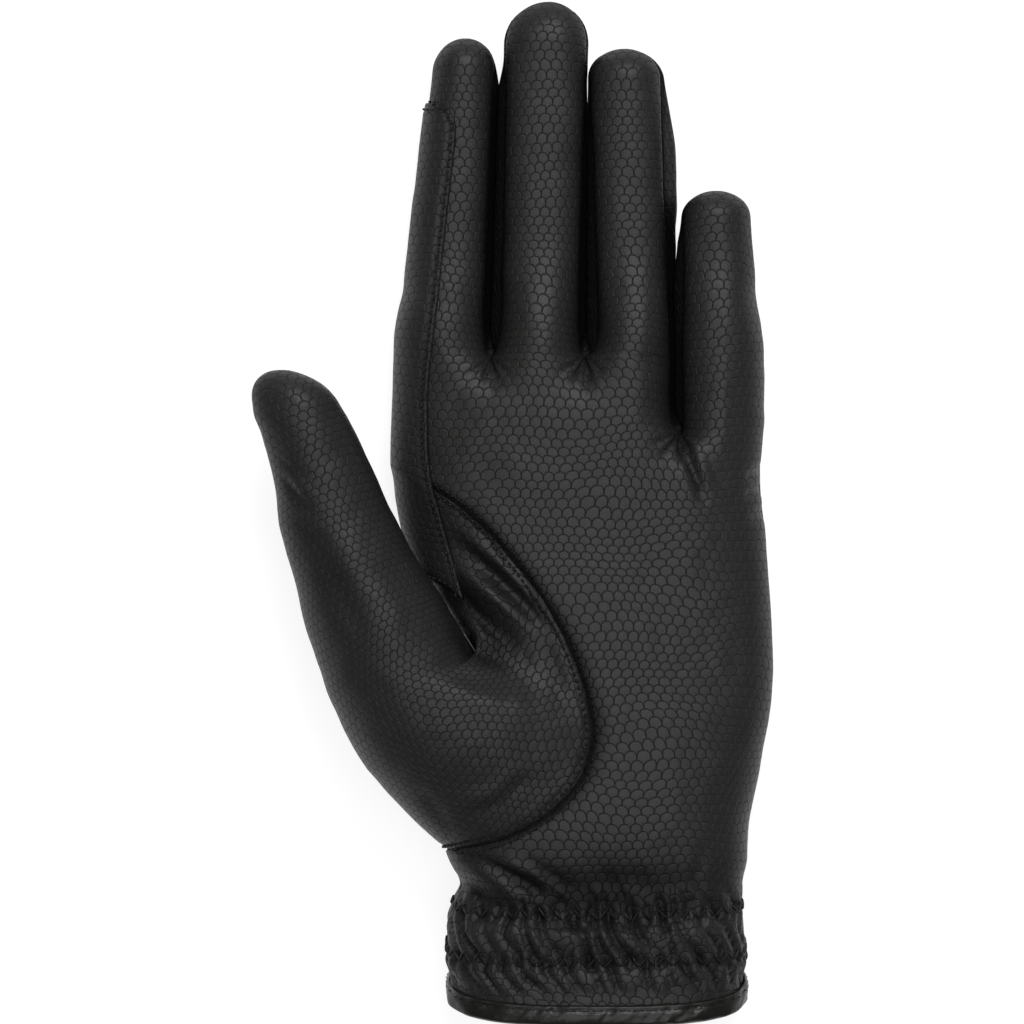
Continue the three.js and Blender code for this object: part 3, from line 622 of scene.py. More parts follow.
def set_inputs(tree, node, inputs):
    """Links or sets a node's inputs, by name or number: another node's output is linked, and
    anything else is the socket's value."""
    for key, value in dict(inputs).items():
        if isinstance(value, bpy.types.NodeSocket):
            tree.links.new(value, node.inputs[key])
        else:
            node.inputs[key].default_value = value


def add_node(tree, kind, inputs=(), **settings):
    """A shader node of a kind with its settings and inputs."""
    node = tree.nodes.new("ShaderNode" + kind)
    for name, value in settings.items():
        setattr(node, name, value)
    set_inputs(tree, node, inputs)
    return node


def ranged(tree, value, low, high, start=0.0, stop=1.0, curve="LINEAR"):
    """Map of a value from start..stop to low..high, held between them."""
    return add_node(tree, "MapRange", {
        "Value": value, "From Min": start, "From Max": stop, "To Min": low, "To Max": high,
    }, interpolation_type=curve).outputs[0]


def blend_colours(tree, share, first, second):
    """Colour that goes from the first to the second with the share."""
    node = add_node(tree, "Mix", {0: share}, data_type="RGBA")
    colours = [number for number, socket in enumerate(node.inputs) if socket.type == "RGBA"]
    set_inputs(tree, node, zip(colours, (first, second)))
    return [socket for socket in node.outputs if socket.type == "RGBA"][0]


def bumped(tree, inputs):
    """Normal of a bump with these inputs."""
    return add_node(tree, "Bump", inputs).outputs[0]


def new_material(name):
    """A material, its node tree and its main shader."""
    material = bpy.data.materials.new(name)
    material.use_nodes = True
    return material, material.node_tree, material.node_tree.nodes["Principled BSDF"]


def scale_cells():
    """Group 'scale cells': lapped scales in offset rows on the pattern map, each one unit wide and
    one unit up from the row below, with an arched top. Gives the height of a scale (1 on top, 0 in
    the groove), the groove as a mask, and a random tone that changes over the scales."""
    group = bpy.data.node_groups.new("scale cells", "ShaderNodeTree")
    face = group.interface
    face.new_socket("Pattern", in_out="INPUT", socket_type="NodeSocketVector")
    face.new_socket("Uneven", in_out="INPUT", socket_type="NodeSocketFloat")
    for name in ("Height", "Groove", "Tone"):
        face.new_socket(name, in_out="OUTPUT", socket_type="NodeSocketFloat")
    entry = group.nodes.new("NodeGroupInput")
    leave = group.nodes.new("NodeGroupOutput")

    def sum_of(operation, *values):
        """A number worked out from numbers."""
        return add_node(group, "Math", enumerate(values), operation=operation).outputs[0]

    def vector_of(operation, *values):
        """A vector worked out from vectors."""
        return add_node(group, "VectorMath", enumerate(values), operation=operation).outputs[0]

    def shift_by(scale, amount):
        """Smooth random shift of the pattern, up to half the amount each way."""
        noise = add_node(group, "TexNoise", {
            "Scale": scale, "Detail": 0, "Vector": entry.outputs["Pattern"]}, noise_dimensions="2D")
        centred = vector_of("SUBTRACT", noise.outputs["Color"], (.5, .5, .5))
        return add_node(group, "VectorMath", {0: centred, "Scale": amount},
                        operation="SCALE").outputs[0]

    shake = sum_of("MULTIPLY", entry.outputs["Uneven"], 2.0)
    shaken = vector_of("ADD", shift_by(.6, shake), shift_by(.13, 1.6))
    warped = vector_of("ADD", entry.outputs["Pattern"], shaken)
    across, rows, _ = add_node(group, "SeparateXYZ", {0: warped}).outputs

    def row_set(shift):
        """Every second row of scales. Over the row's lower line, which is an arch
        .72(1 - |2x|^2.5)^.4 over each scale, gives the height above it, how far the scale's side
        is, and a number for the scale."""
        x = sum_of("ADD", across, shift)
        px = sum_of("SUBTRACT", sum_of("FRACT", x), .5)
        wide_share = sum_of("POWER", sum_of("ABSOLUTE", sum_of("MULTIPLY", px, 2.0)), 2.5)
        rounded = sum_of("POWER", sum_of("SUBTRACT", 1.0, wide_share), .4)
        arch_line = sum_of("MULTIPLY", rounded, .72)
        up = sum_of("SUBTRACT", sum_of("SUBTRACT", rows, 2 * shift), arch_line)
        pair = sum_of("MULTIPLY", up, .5)
        above = sum_of("MULTIPLY", sum_of("FRACT", pair), 2.0)
        side = sum_of("SUBTRACT", .5, sum_of("ABSOLUTE", px))
        number = add_node(group, "CombineXYZ", enumerate((
            sum_of("FLOOR", x), sum_of("FLOOR", pair), shift)))
        return above, side, number.outputs[0]

    above_a, side_a, _ = row_set(0.0)
    above_b, side_b, number_b = row_set(.5)
    in_b = sum_of("LESS_THAN", above_a, above_b)
    in_a = sum_of("SUBTRACT", 1.0, in_b)
    below_top = sum_of("SUBTRACT", 2.0, sum_of("MAXIMUM", above_a, above_b))
    over_foot = sum_of("MINIMUM", above_a, above_b)
    side = sum_of("ADD", sum_of("MULTIPLY", side_a, in_a), sum_of("MULTIPLY", side_b, in_b))
    level = sum_of("MULTIPLY", sum_of("MINIMUM", below_top, over_foot), .6)
    away = sum_of("MINIMUM", side, level)
    pick = add_node(group, "Mix", {0: in_b, 4: number_b}, data_type="VECTOR").outputs[1]
    chance = add_node(group, "TexWhiteNoise", {"Vector": pick}, noise_dimensions="3D")
    chance = chance.outputs["Value"]
    groove = ranged(group, away, 1.0, 0.0, 0.0, .085, "SMOOTHSTEP")
    crown = sum_of("ADD", .75, sum_of("MULTIPLY", sum_of("MINIMUM", away, .35), .7))
    top = sum_of("MULTIPLY", crown, sum_of("SUBTRACT", 1.0, groove))
    unlike = sum_of("ADD", .9, sum_of("MULTIPLY", chance, .2))
    set_inputs(group, leave, {
        "Height": sum_of("MULTIPLY", top, unlike), "Groove": groove, "Tone": chance})
    return group


def leather_material(name, colour, dark, roughness, uneven, wear, depth):
    """Embossed leather: grooves painted darker as painted shade, paler rubbed tops, scales from
    the group 'scale cells' as a bump, and a fine pore grain under them. Painted shade from the
    attribute 'sewn' paints it black and dull at sewn edges and wherever else shade is painted."""
    material, tree, shader = new_material(name)
    place = add_node(tree, "UVMap", uv_map="grain").outputs[0]
    cells = add_node(tree, "Group", {"Uneven": uneven, "Pattern": place}, node_tree=scales).outputs
    spot = add_node(tree, "TexCoord").outputs["Object"]
    cloud = add_node(tree, "TexNoise", {"Scale": 45, "Detail": 4, "Vector": spot}).outputs["Fac"]
    pores = add_node(tree, "TexNoise", {"Scale": 8, "Detail": 3, "Vector": place}).outputs["Fac"]
    tone = add_node(tree, "Math", {0: cells["Tone"], 1: .5, 2: cloud}, operation="MULTIPLY_ADD")
    rubbed = ranged(tree, tone.outputs[0], 0.0, 1.0, .35, 1.15)
    worn = blend_colours(tree, rubbed, (*colour, 1), (*wear, 1))
    # Painted shade in the grooves: they get the darker colour.
    sunk = blend_colours(tree, cells["Groove"], worn, (*dark, 1))
    # Painted shade from the attribute 'sewn': near-black colour and less specular where it is 1.
    sewn = add_node(tree, "Attribute", attribute_name="sewn").outputs["Fac"]
    fine = bumped(tree, {"Strength": .5, "Distance": .0001, "Height": pores})
    set_inputs(tree, shader, {
        "Base Color": blend_colours(tree, sewn, sunk, (.003, .003, .0028, 1)),
        "Specular IOR Level": ranged(tree, sewn, .32, .06),
        "Roughness": ranged(tree, cells["Groove"], roughness, roughness + .2),
        "Normal": bumped(tree, {"Strength": 1.0, "Distance": depth, "Height": cells["Height"],
                                "Normal": fine}),
    })
    return material


scales = scale_cells()
# The third colour is the grooves' painted shade.
grained = leather_material("grained leather", (.0125, .0122, .0118), (.006, .0058, .0056), .46, .09,
                           (.0165, .0162, .0157), .00012)

backing, tree, shader = new_material("knitted backing")
spot = add_node(tree, "TexCoord").outputs["Object"]
knit = add_node(tree, "TexWave", {"Scale": 900, "Vector": spot}).outputs["Fac"]
set_inputs(tree, shader, {
    "Base Color": (.03, .03, .031, 1), "Roughness": .9,
    "Normal": bumped(tree, {"Distance": .0001, "Height": knit}),
})


def body_rows(count):
    """Heights of the rows from the hem to the crotches, with one on each crotch."""
    low = np.linspace(.007, .886, int(count * .88 * fineness))
    high = np.linspace(.886, 1, int(count * .12 * fineness))[1:]
    return palm_length * np.concatenate([low, high])


def finger_rows(k, count):
    """Heights of the rows of finger k, close together at its root and over its rounded tip."""
    top = finger_tip(k)
    reach = fingers["round"][k] * finger_width
    root = palm_length + 3 * np.linspace(0, 1, int(8 * fineness) + 2)[1:] ** 2
    straight = np.linspace(root[-1], top - reach, int(count * fineness))[1:]
    turns = np.radians(np.linspace(0, 90, int(18 * fineness) + 4)[1:])
    return np.concatenate([root, straight, top - reach + reach * np.sin(turns)])


def panel_grids(panel, columns, body_count, finger_count):
    """Grids of the four finger strips of one panel."""
    angles = np.linspace(-90, 90, int(columns * fineness) + 1)
    grids = []
    for k in range(4):
        y = np.concatenate([body_rows(body_count), finger_rows(k, finger_count)])
        grid = strip_surface(k, angles[None, :], y[:, None], panel)
        middle = .5 * (body_left(y) + body_right(y))
        out = grid - np.stack([middle, grid[:, 0, 1], side_height(y)], -1)[:, None, :]
        out[..., 1] = 0
        pinch = section("pinch", y) * elastic_pinch * (y < palm_length)
        grids.append(grid - unit(out) * pinch[:, None, None])
    return grids


# Widths of the painted shade at the finger slits and round the thumb hole, and its strength round
# the hole.
slit_shade_width, hole_shade_width, hole_shade = 3.4, 2.0, .32
far = 99.0


def seam_distance(grids, seam):
    """Distance of each point of the strips from the nearest sewn edge, which is the strip's own
    side, a finger slit, the tip, or the thumb hole's seam, and the painted shade that the skin
    gets there."""
    found, shades = [], []
    for k, grid in enumerate(grids):
        arc = arc_across(grid)
        down = arc_along(grid)
        y = grid[:, 0, 1]
        left_open = (y > crotch_along[k - 1] * palm_length) if k else np.ones(len(y), bool)
        right_open = (y > crotch_along[k] * palm_length) if k < 3 else np.ones(len(y), bool)
        away = np.minimum(np.where(left_open[:, None], arc, far),
                          np.where(right_open[:, None], arc[:, -1:] - arc, far))
        away = np.minimum(away, down[-1] - down)
        near = np.full(away.shape, far)
        for start in range(0, len(seam), 16):
            gap = grid[:, :, None, :] - seam[None, None, start:start + 16]
            near = np.minimum(near, np.linalg.norm(gap, axis=-1).min(axis=-1))
        found.append(np.minimum(away, near))
        shades.append(np.maximum(near_to(away, slit_shade_width),
                                 hole_shade * near_to(near, hole_shade_width)))
    return found, shades


def turned_in(away, depth=.4, width=1.1):
    """How deep a skin turns in at a sewn edge: a bell over the distance from it."""
    return -depth * near_to(away, width)


def hole_seam(panel, count=150):
    """Points of the thumb hole's edge on the palm or back."""
    turn = np.linspace(1, 179, count) if panel > 0 else np.linspace(181, 359, count)
    hole = thumb_hole_front if panel > 0 else thumb_hole_back
    y = look_up(hole, "turn", "along", turn) * palm_length
    x = np.maximum(look_up(hole, "turn", "across", turn) * hand_width, body_left(y))
    return np.stack([x, y, body_height(x, y, panel)], -1)


def side_normals(grids, panel):
    """Marks the points whose normals stay level: side seams and the edges of the finger slits."""
    marks = []
    for k, grid in enumerate(grids):
        mark = np.zeros(grid.shape[:2], bool)
        y = grid[:, 0, 1]
        mark[:, 0] = (y > crotch_along[k - 1] * palm_length + .1) if k else True
        mark[:, -1] = (y > crotch_along[k] * palm_length + .1) if k < 3 else True
        if k == 0:
            hole = thumb_hole_front if panel > 0 else thumb_hole_back
            along = y / palm_length
            mark[(along > hole["along"].min()) & (along < hole["along"].max()), 0] = False
        marks.append(mark)
    return marks


def cell_places(places, width=scale_width, pitch=scale_pitch):
    """Pattern places in scales: one across is a scale's width, and one along is a row's pitch."""
    return [place * (1 / width, 1 / pitch) for place in places]


wrist_shade_middle = 31.0  # height over the hem of the middle of the painted shade band over the wrist
jumble_top = 36.0  # the gathers jumble the scales below this height
palm_grids = panel_grids(1, 36, 205, 98)
palm_seam = hole_seam(1)
palm_away, palm_shade = seam_distance(palm_grids, palm_seam)
palm_relief, palm_round = [], [arc_across(grid) + k * 29 for k, grid in enumerate(palm_grids)]
for k, grid in enumerate(palm_grids):
    x, y = grid[..., 0], grid[..., 1]
    settled = smooth(palm_away[k] / settle_width)
    palm_relief.append(body_relief(grid, palm_round[k], 1) * settled + turned_in(palm_away[k]))
    # Painted shade on the palm: in the creases, in the clefts of the gathers, and a band over the
    # wrist.
    _, cleft = cuff_gathers(palm_round[k], y)
    dark = np.maximum(crease_shade(x, y, palm_creases), cleft) * settled
    dark = np.maximum(dark, .3 * near_to(y - wrist_shade_middle, 9))
    palm_shade[k] = np.maximum(palm_shade[k], dark)
palm_places = lay_pattern(palm_grids)
for grid, place in zip(palm_grids, palm_places):
    jumbled = smooth((jumble_top - grid[..., 1]) / 6)
    for axis, reach in enumerate((1.1, .9)):
        place[..., axis] += jumbled * reach * soft_noise(grid[..., 0], grid[..., 1], 3.4, 91 + axis)
palm, palm_points, palm_normals = panel_piece(
    "palm_leather", palm_grids, cell_places(palm_places), grained, palm_relief, palm_shade,
    upright=side_normals(palm_grids, 1))
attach(palm, "root")
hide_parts("palm_panel")


# Back panel. The same leather on the back of the hand, one cut from the hem to the backs of the
# fingers, pressed flat where the glove lies. Its faces look down, so its grids run the other way.

back_grids = [grid[:, ::-1] for grid in panel_grids(-1, 30, 150, 80)]
back_seam = hole_seam(-1)
# back_shade is the painted shade at the back's sewn edges.
back_away, back_shade = seam_distance([grid[:, ::-1] for grid in back_grids], back_seam)
back_away, back_shade = ([field[:, ::-1] for field in fields] for fields in (back_away, back_shade))
back_relief = []
for k, grid in enumerate(back_grids):
    settled = smooth(grid[..., 2] / 3) * smooth(back_away[k] / settle_width)
    back_relief.append(body_relief(grid, arc_across(grid) + k * 27, -1) * settled
                       + turned_in(back_away[k]))
back_places = lay_pattern(back_grids, [grid[..., :2] * (-1, 1) for grid in back_grids])
back_level = [mark[:, ::-1] for mark in side_normals([grid[:, ::-1] for grid in back_grids], -1)]
back, back_points, back_normals = panel_piece(
    "back_leather", back_grids, cell_places(back_places), grained, back_relief, back_shade,
    upright=back_level)
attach(back, "root")
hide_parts("back_panel")


# Fourchettes. Three strips of the same leather that make the side walls between the fingers, each
# running down one finger, through the crotch and up the next, sewn to the front and the back.


crotch_lift = 4.5


def fourchette_grid(gap, columns=10):
    """Rungs from the back seam to the front seam, down the right side of one finger and up the left
    side of the next, swelling out between the seams as (1 - t^2)^0.7 and up at the crotch. One wall
    swells most near the back and the other near the front, so that no light falls between them."""
    crotch = crotch_along[gap] * palm_length
    share = np.linspace(0, 1, columns + 1)
    parts = []
    for k, hand in ((gap, 1), (gap + 1, -1)):
        reach = fingers["round"][k] * finger_width
        top = finger_tip(k) - reach * (1 - np.sin(np.radians(50)))
        t = np.linspace(0, 1, int(110 * fineness))
        y = crotch + (top - crotch) * t ** 1.6
        front = np.stack([strip_edge(k, hand, y, 1), y, edge_height(k, hand, y, 1)], -1)
        rear = np.stack([strip_edge(k, hand, y, -1), y, edge_height(k, hand, y, -1)], -1)
        clear = seam_gap / np.linalg.norm(front - rear, axis=1)
        place = clear[:, None] + share[None, :] * (1 - 2 * clear[:, None])
        grid = rear[:, None, :] + (front - rear)[:, None, :] * place[..., None]
        full = smooth((y - crotch + .3) / 1.8) * dome(k, y)
        left = np.maximum(strip_edge(gap, 1, y, 1), strip_edge(gap, 1, y, -1))
        right = np.minimum(strip_edge(gap + 1, -1, y, 1), strip_edge(gap + 1, -1, y, -1))
        beside = smooth((min(finger_tip(gap), finger_tip(gap + 1)) - 5 - y) / 9)
        swell = mix(.25, np.clip(.5 * (right - left) - .12, .1, 2.4), beside) * full
        uneven = 1 + hand * .8 * np.cos(np.pi * share)
        bow = ((1 - (2 * share - 1) ** 2) ** .7 * uneven)[None, :]
        grid[..., 0] += hand * swell[:, None] * bow
        lift = crotch_lift * np.exp((crotch - y[:, None]) / 7)
        grid[..., 1] += lift * (1 - (2 * share - 1) ** 2)[None, :]
        parts.append(grid[::-1] if hand > 0 else grid[1:])
    return np.concatenate(parts)


for gap, name in enumerate(("index_middle", "middle_ring", "ring_little")):
    grid = fourchette_grid(gap)
    arc, along = arc_across(grid), arc_along(grid)
    near = np.minimum(arc, arc[:, -1:] - arc)
    relief = .12 * soft_noise(along, arc, 4, 50 + gap) + turned_in(near, .3, .8)
    places = np.stack([arc, along], -1)
    # The fourchettes are painted in full shade: 'sewn' is 1 all over them, near black and dull.
    piece, _, _ = panel_piece(
        "fourchette_leather_" + name, [grid], cell_places([places], 2.5, 2.0), grained, [relief],
        [np.ones(arc.shape)], upright=[np.ones(grid.shape[:2], bool)])
    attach(piece, "root")
    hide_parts("fourchette_" + name)


# Thumb. A set-in thumb with the ball of the thumb in one piece, in the same leather with slightly
# smaller scales. It is sewn into the hole of the palm and back with two rows of stitches.

thumb_length = 64.5
thumb_width = 23.4
thumb_depth = 21.0
thumb_dome = .17
thumb_root = np.array([-.527 * hand_width, .604 * palm_length])
thumb_lean, thumb_skew = np.radians(23.6), np.radians(11)
thumb_sections = table("along half drift depth height", [
    (-.22, .79, .02, .8, .62), (0, .72, 0, .73, .66), (.199, .63, 0, .65, .67),
    (.397, .565, .02, .57, .69), (.582, .5, .08, .5, .72), (.735, .45, .11, .45, .75),
    (.873, .425, .1, .4, .77), (1, .4, .03, .36, .78),
])
thumb_flare = table("turn share lift drop", [
    (0, .55, -.2, .3), (20, .6, -.2, .15), (40, .62, -.16, 0), (60, .6, -.1, 0), (80, .5, .1, 0),
    (110, .45, .14, 0), (150, .45, .15, 0), (185, .45, .18, 0), (230, .45, .18, 0),
    (300, .5, .08, 0), (335, .55, -.1, .1), (360, .55, -.2, .3),
])
thumb_ahead = np.array([-np.sin(thumb_lean), np.cos(thumb_lean), 0])
thumb_across = np.array([np.cos(thumb_lean - thumb_skew), np.sin(thumb_lean - thumb_skew), 0])
upward = np.array([0, 0, 1.0])


def thumb_ring(turn, along):
    """Point round the thumb: an ellipse square to its axis, rounded off over the end."""
    turn, along = np.broadcast_arrays(np.asarray(turn, float), np.asarray(along, float))
    value = {name: look_up(thumb_sections, "along", name, along) for name in thumb_sections}
    into = np.clip((along - 1 + thumb_dome) / thumb_dome, 0, 1)
    rounded = np.sqrt(1 - into * into)
    sideways = thumb_width * (value["drift"] + value["half"] * rounded * np.cos(np.radians(turn)))
    point = np.zeros(turn.shape + (3,))
    point[..., :2] = thumb_root
    point[..., 2] = value["height"] * palm_depth + (
        value["depth"] * thumb_depth * rounded * np.sin(np.radians(turn)))
    point += along[..., None] * thumb_length * thumb_ahead
    return point + sideways[..., None] * thumb_across


def thumb_seam(turn):
    """Point of the thumb's seam at a turn, on the edge of the hole in the palm or back."""
    turn = np.asarray(turn, float)
    found = np.zeros(turn.shape + (3,))
    for hole, panel, here in ((thumb_hole_front, 1, turn <= 180),
                              (thumb_hole_back, -1, turn > 180)):
        y = look_up(hole, "turn", "along", turn) * palm_length
        x = np.maximum(look_up(hole, "turn", "across", turn) * hand_width, body_left(y))
        point = np.stack([x, y, body_height(x, y, panel)], -1)
        found = np.where(here[..., None], point, found)
    return found


def thumb_surface(turn, stage):
    """Point of the thumb: its seam at stage -2, its root at 0, its tip at 1. Below the root the
    surface is a smooth curve through the seam, a middle knot and the root ring."""
    turn, stage = np.broadcast_arrays(np.asarray(turn, float), np.asarray(stage, float))
    start = thumb_sections["along"][0]
    upper = thumb_ring(turn, mix(start, 1, np.clip(stage, 0, 1)))
    seam, root = thumb_seam(turn), thumb_ring(turn, start)
    flare = {name: look_up(thumb_flare, "turn", name, turn)[..., None] for name in thumb_flare}
    middle = mix(seam, root, 1 - flare["share"])
    angle = np.radians(turn)[..., None]
    out = thumb_across * np.cos(angle) + upward * np.sin(angle)
    middle = middle + out * flare["lift"] * thumb_depth - upward * flare["drop"] * thumb_depth
    knots = [2 * seam - middle, seam, middle, root, thumb_ring(turn, start + .25)]

    def curve(p, t):
        """Cubic from the second of four points to the third, for t from 0 to 1."""
        a, b, c, d = p
        return .5 * (2 * b + (c - a) * t + (2 * a - 5 * b + 4 * c - d) * t * t
                     + (3 * b - a - 3 * c + d) * t ** 3)

    t = np.clip(stage, -2.2, 0)[..., None]
    lower = np.where(t < -1, curve(knots[:4], t + 2), curve(knots[1:], t + 1))
    return np.where((stage >= 0)[..., None], upper, lower)


thumb_folds = [
    # creases at the thumb's joint, from its outer side
    (-.55, 1.1, [(285, 476), (292, 488), (302, 502), (312, 512)]),
    (-.4, 1.1, [(282, 462), (292, 470), (304, 478)]),
    (.4, 1.8, [(290, 470), (302, 486), (318, 500)]),
    (-.35, 1.4, [(300, 520), (316, 540), (330, 556)]),
    # the broad ridge over the joint of the thumb
    (.7, 4.0, [(330, 520), (355, 560), (383, 607), (400, 640)]),
    (-.6, 3.0, [(318, 545), (340, 590), (362, 630)]),
    # ridges of the web beside the index finger
    (2.0, 2.4, [(450, 560), (476, 582), (502, 604), (532, 630)]),
    (-1.8, 2.2, [(446, 584), (472, 608), (494, 628), (522, 652)]),
    (-1.4, 2.0, [(458, 545), (492, 574), (522, 602), (552, 636)]),
    (.7, 1.8, [(458, 528), (486, 552), (518, 582), (546, 614)]),
    (-.7, 1.8, [(446, 508), (474, 530), (506, 558), (534, 588)]),
    (-.5, 2.2, [(540, 640), (556, 670), (562, 705)]),
    (-1.6, 3.0, [(462, 636), (488, 652), (520, 664)]),
    # wrinkles along the lower seam
    (-.3, 1.6, [(470, 815), (500, 800), (530, 775)]),
    (.3, 2.0, [(450, 805), (490, 790), (520, 765)]),
    (-.4, 2.0, [(420, 790), (440, 812), (452, 832)]),
]


def thumb_grid(turns, count):
    """Rows from the sewn edge to the tip. The edge is lapped a little way under the hole's edge."""
    close = np.array([-2, -1.98])
    edge = thumb_surface(turns[None, :], close[:, None])
    step = (edge[1] - edge[0]) / .02
    ahead = unit(np.gradient(edge[0], axis=0))
    square = step - np.sum(step * ahead, axis=1, keepdims=True) * ahead
    first = -2 - np.clip(.5 / np.maximum(np.linalg.norm(square, axis=1), 1e-6), .002, .1)
    lower = np.linspace(0, 1, int(count * .52 * fineness))
    middle = np.linspace(0, 1 - thumb_dome / 1.22, int(count * .36 * fineness))[1:]
    ends = np.radians(np.linspace(0, 90, int(count * .12 * fineness) + 3)[1:])
    last = 1 - thumb_dome / 1.22 * (1 - np.sin(ends))
    stages = np.concatenate([first[None, :] * (1 - lower[:, None]),
                             np.repeat(np.concatenate([middle, last])[:, None], len(turns), 1)])
    return thumb_surface(turns[None, :], stages), stages


seam_knots = np.concatenate([thumb_hole_front["turn"], thumb_hole_back["turn"][1:]])
turns = np.interp(np.linspace(0, len(seam_knots) - 1, int(240 * fineness) + 1),
                  np.arange(len(seam_knots)), seam_knots)
cut_line = int(np.argmin(np.abs(turns - 262)))
turns = np.concatenate([turns[cut_line:-1], turns[:cut_line + 1]])
grid, stages = thumb_grid(turns, 190)
grid, turns, stages = grid[:, ::-1], turns[::-1], stages[:, ::-1]
along = arc_along(grid)
facing = smooth(np.sin(np.radians(turns)) * 3)[None, :]
thumb_relief = facing * folds(grid[..., 0], grid[..., 1], thumb_folds)
thumb_relief += .2 * soft_noise(grid[..., 0], grid[..., 1], 8, 61)
thumb_relief += .1 * soft_noise(grid[..., 0], grid[..., 1], 3.2, 62)
thumb_relief += turned_in(along, .5, .9)
thumb_relief *= np.clip((along[-1:] - along) / 3, 0, 1)
thumb_relief -= .25 * np.exp(-((along - 1.9) / .6) ** 2)
middle_column = int(np.argmin(np.abs(turns - 90)))
arc = arc_across(grid)
guess = np.stack([arc - arc[:, middle_column:middle_column + 1], along - along[-1:]], -1)
thumb_places = lay_pattern([grid], [guess], cut=.02, rounds=90)
lead = thumb_places[0][-1, 0] - thumb_places[0][int(len(grid) * .6), middle_column]
slant = np.arctan2(lead[0], lead[1])
turned = np.array([[np.cos(slant), np.sin(slant)], [-np.sin(slant), np.cos(slant)]])
thumb_places = [place @ turned for place in thumb_places]
# Painted shade on the thumb: along its sewn edge and in the creases of its folds.
thumb_shade = np.maximum(.35 * near_to(along, 2.0),
                         facing * crease_shade(grid[..., 0], grid[..., 1], thumb_folds))
thumb, thumb_points, thumb_normals = panel_piece(
    "thumb_leather", [grid], cell_places(thumb_places, thumb_scale_width, thumb_scale_pitch),
    grained, [thumb_relief], [thumb_shade])
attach(thumb, "root")
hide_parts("thumb")


# Index patch. A second layer of the same leather, sewn on round the outer side of the index finger
# and down over the web of the thumb, where reins run, with one row of stitches along its edge.

patch_wall = .7
patch_clear = .35
patch_edge = table("along across", [
    (.83, -.383), (.86, -.387), (.934, -.389), (1.01, -.378), (1.085, -.362), (1.175, -.345),
    (1.28, -.324), (1.32, -.3165), (1.345, -.315), (1.362, -.326), (1.373, -.345), (1.38, -.385),
])
tongue = table("stage edge", [(-2, 13), (-1.6, 17.5), (-1.2, 23), (-.8, 28)])


def patch_rows(y, inner=26, outer=5):
    """Rows over the index finger, from under its back round its side to the sewn edge."""
    left, right = strip_edge(0, -1, y, 1), strip_edge(0, 1, y, 1)
    x = look_up(patch_edge, "along", "across", y / palm_length) * hand_width
    stop = np.degrees(np.arcsin(np.clip((2 * x - left - right) / (right - left), -1, 1)))
    t = np.linspace(0, 1, inner + 1)[None, :]
    front = strip_surface(0, mix(-90, stop[:, None], t), y[:, None], 1)
    t = np.linspace(1, 0, outer + 1)[None, :-1]
    back = strip_surface(0, -90 + 13.5 * t + 0 * y[:, None], y[:, None], -1)
    side = .5 * (front[:, :1] + strip_surface(0, -90 + 0 * y[:, None], y[:, None], -1))
    return np.concatenate([back, side, front[:, 1:]], axis=1)


def tongue_rows(stage, inner=26, outer=5):
    """Rows over the web of the thumb, as many points across as the rows over the finger."""
    edge = look_up(tongue, "stage", "edge", stage)
    t = np.linspace(0, 1, inner + 1)[None, :]
    front = thumb_surface(edge[:, None] * t, stage[:, None])
    t = np.linspace(1, 0, outer + 1)[None, :-1]
    back = thumb_surface(360 - 6 * t + 0 * stage[:, None], stage[:, None])
    return np.concatenate([back, front], axis=1)


low, high = .83 * palm_length, 1.38 * palm_length
patch_grid = np.concatenate([
    tongue_rows(np.linspace(-.8, -2, int(36 * fineness))),
    patch_rows(np.linspace(low + .8, high - .05, int(150 * fineness))),
])
arc, along = arc_across(patch_grid), arc_along(patch_grid)
edge_away = np.minimum(np.minimum(arc[:, -1:] - arc, along), along[-1:] - along)
rise = .6 * smooth((palm_length - patch_grid[..., 1]) / (palm_length - low))
patch_relief = rise + .12 * soft_noise(patch_grid[..., 0], patch_grid[..., 1], 5, 71)
patch_relief += turned_in(edge_away, .35, .8) - .25 * np.exp(-((edge_away - 1.5) / .5) ** 2)
patch_places = lay_pattern([patch_grid])
# Painted shade on the patch: along its sewn edge, and down the outer side of the index finger.
patch_shade = np.maximum(.4 * near_to(edge_away, 1.8), .8 * near_to(arc - arc[:, 5:6], 3.5))
patch, patch_points, patch_normals = panel_piece(
    "index_patch_leather", [patch_grid], cell_places(patch_places), grained, [patch_relief],
    [patch_shade], wall=patch_wall, lift=patch_clear + patch_wall)
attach(patch, "root")
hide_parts("index_patch")


# Hem binding. A strip of smooth leather folded over the raw hem of both panels and sewn through
# near its top edge. It is glossier than the panels and slightly wrinkled by the elastic above it.

binding_height = 5.0
binding_wall = .8
binding_clear = .3


def hem_loop(y, columns):
    """Points round the hem, over the palm from left to right and back under the back."""
    angles = np.linspace(-90, 90, columns + 1)
    front = [strip_surface(k, angles[:-1], y, 1, False) for k in range(4)]
    rear = [strip_surface(3 - n, angles[:0:-1], y, -1, False) for n in range(4)]
    return np.concatenate(front + rear)


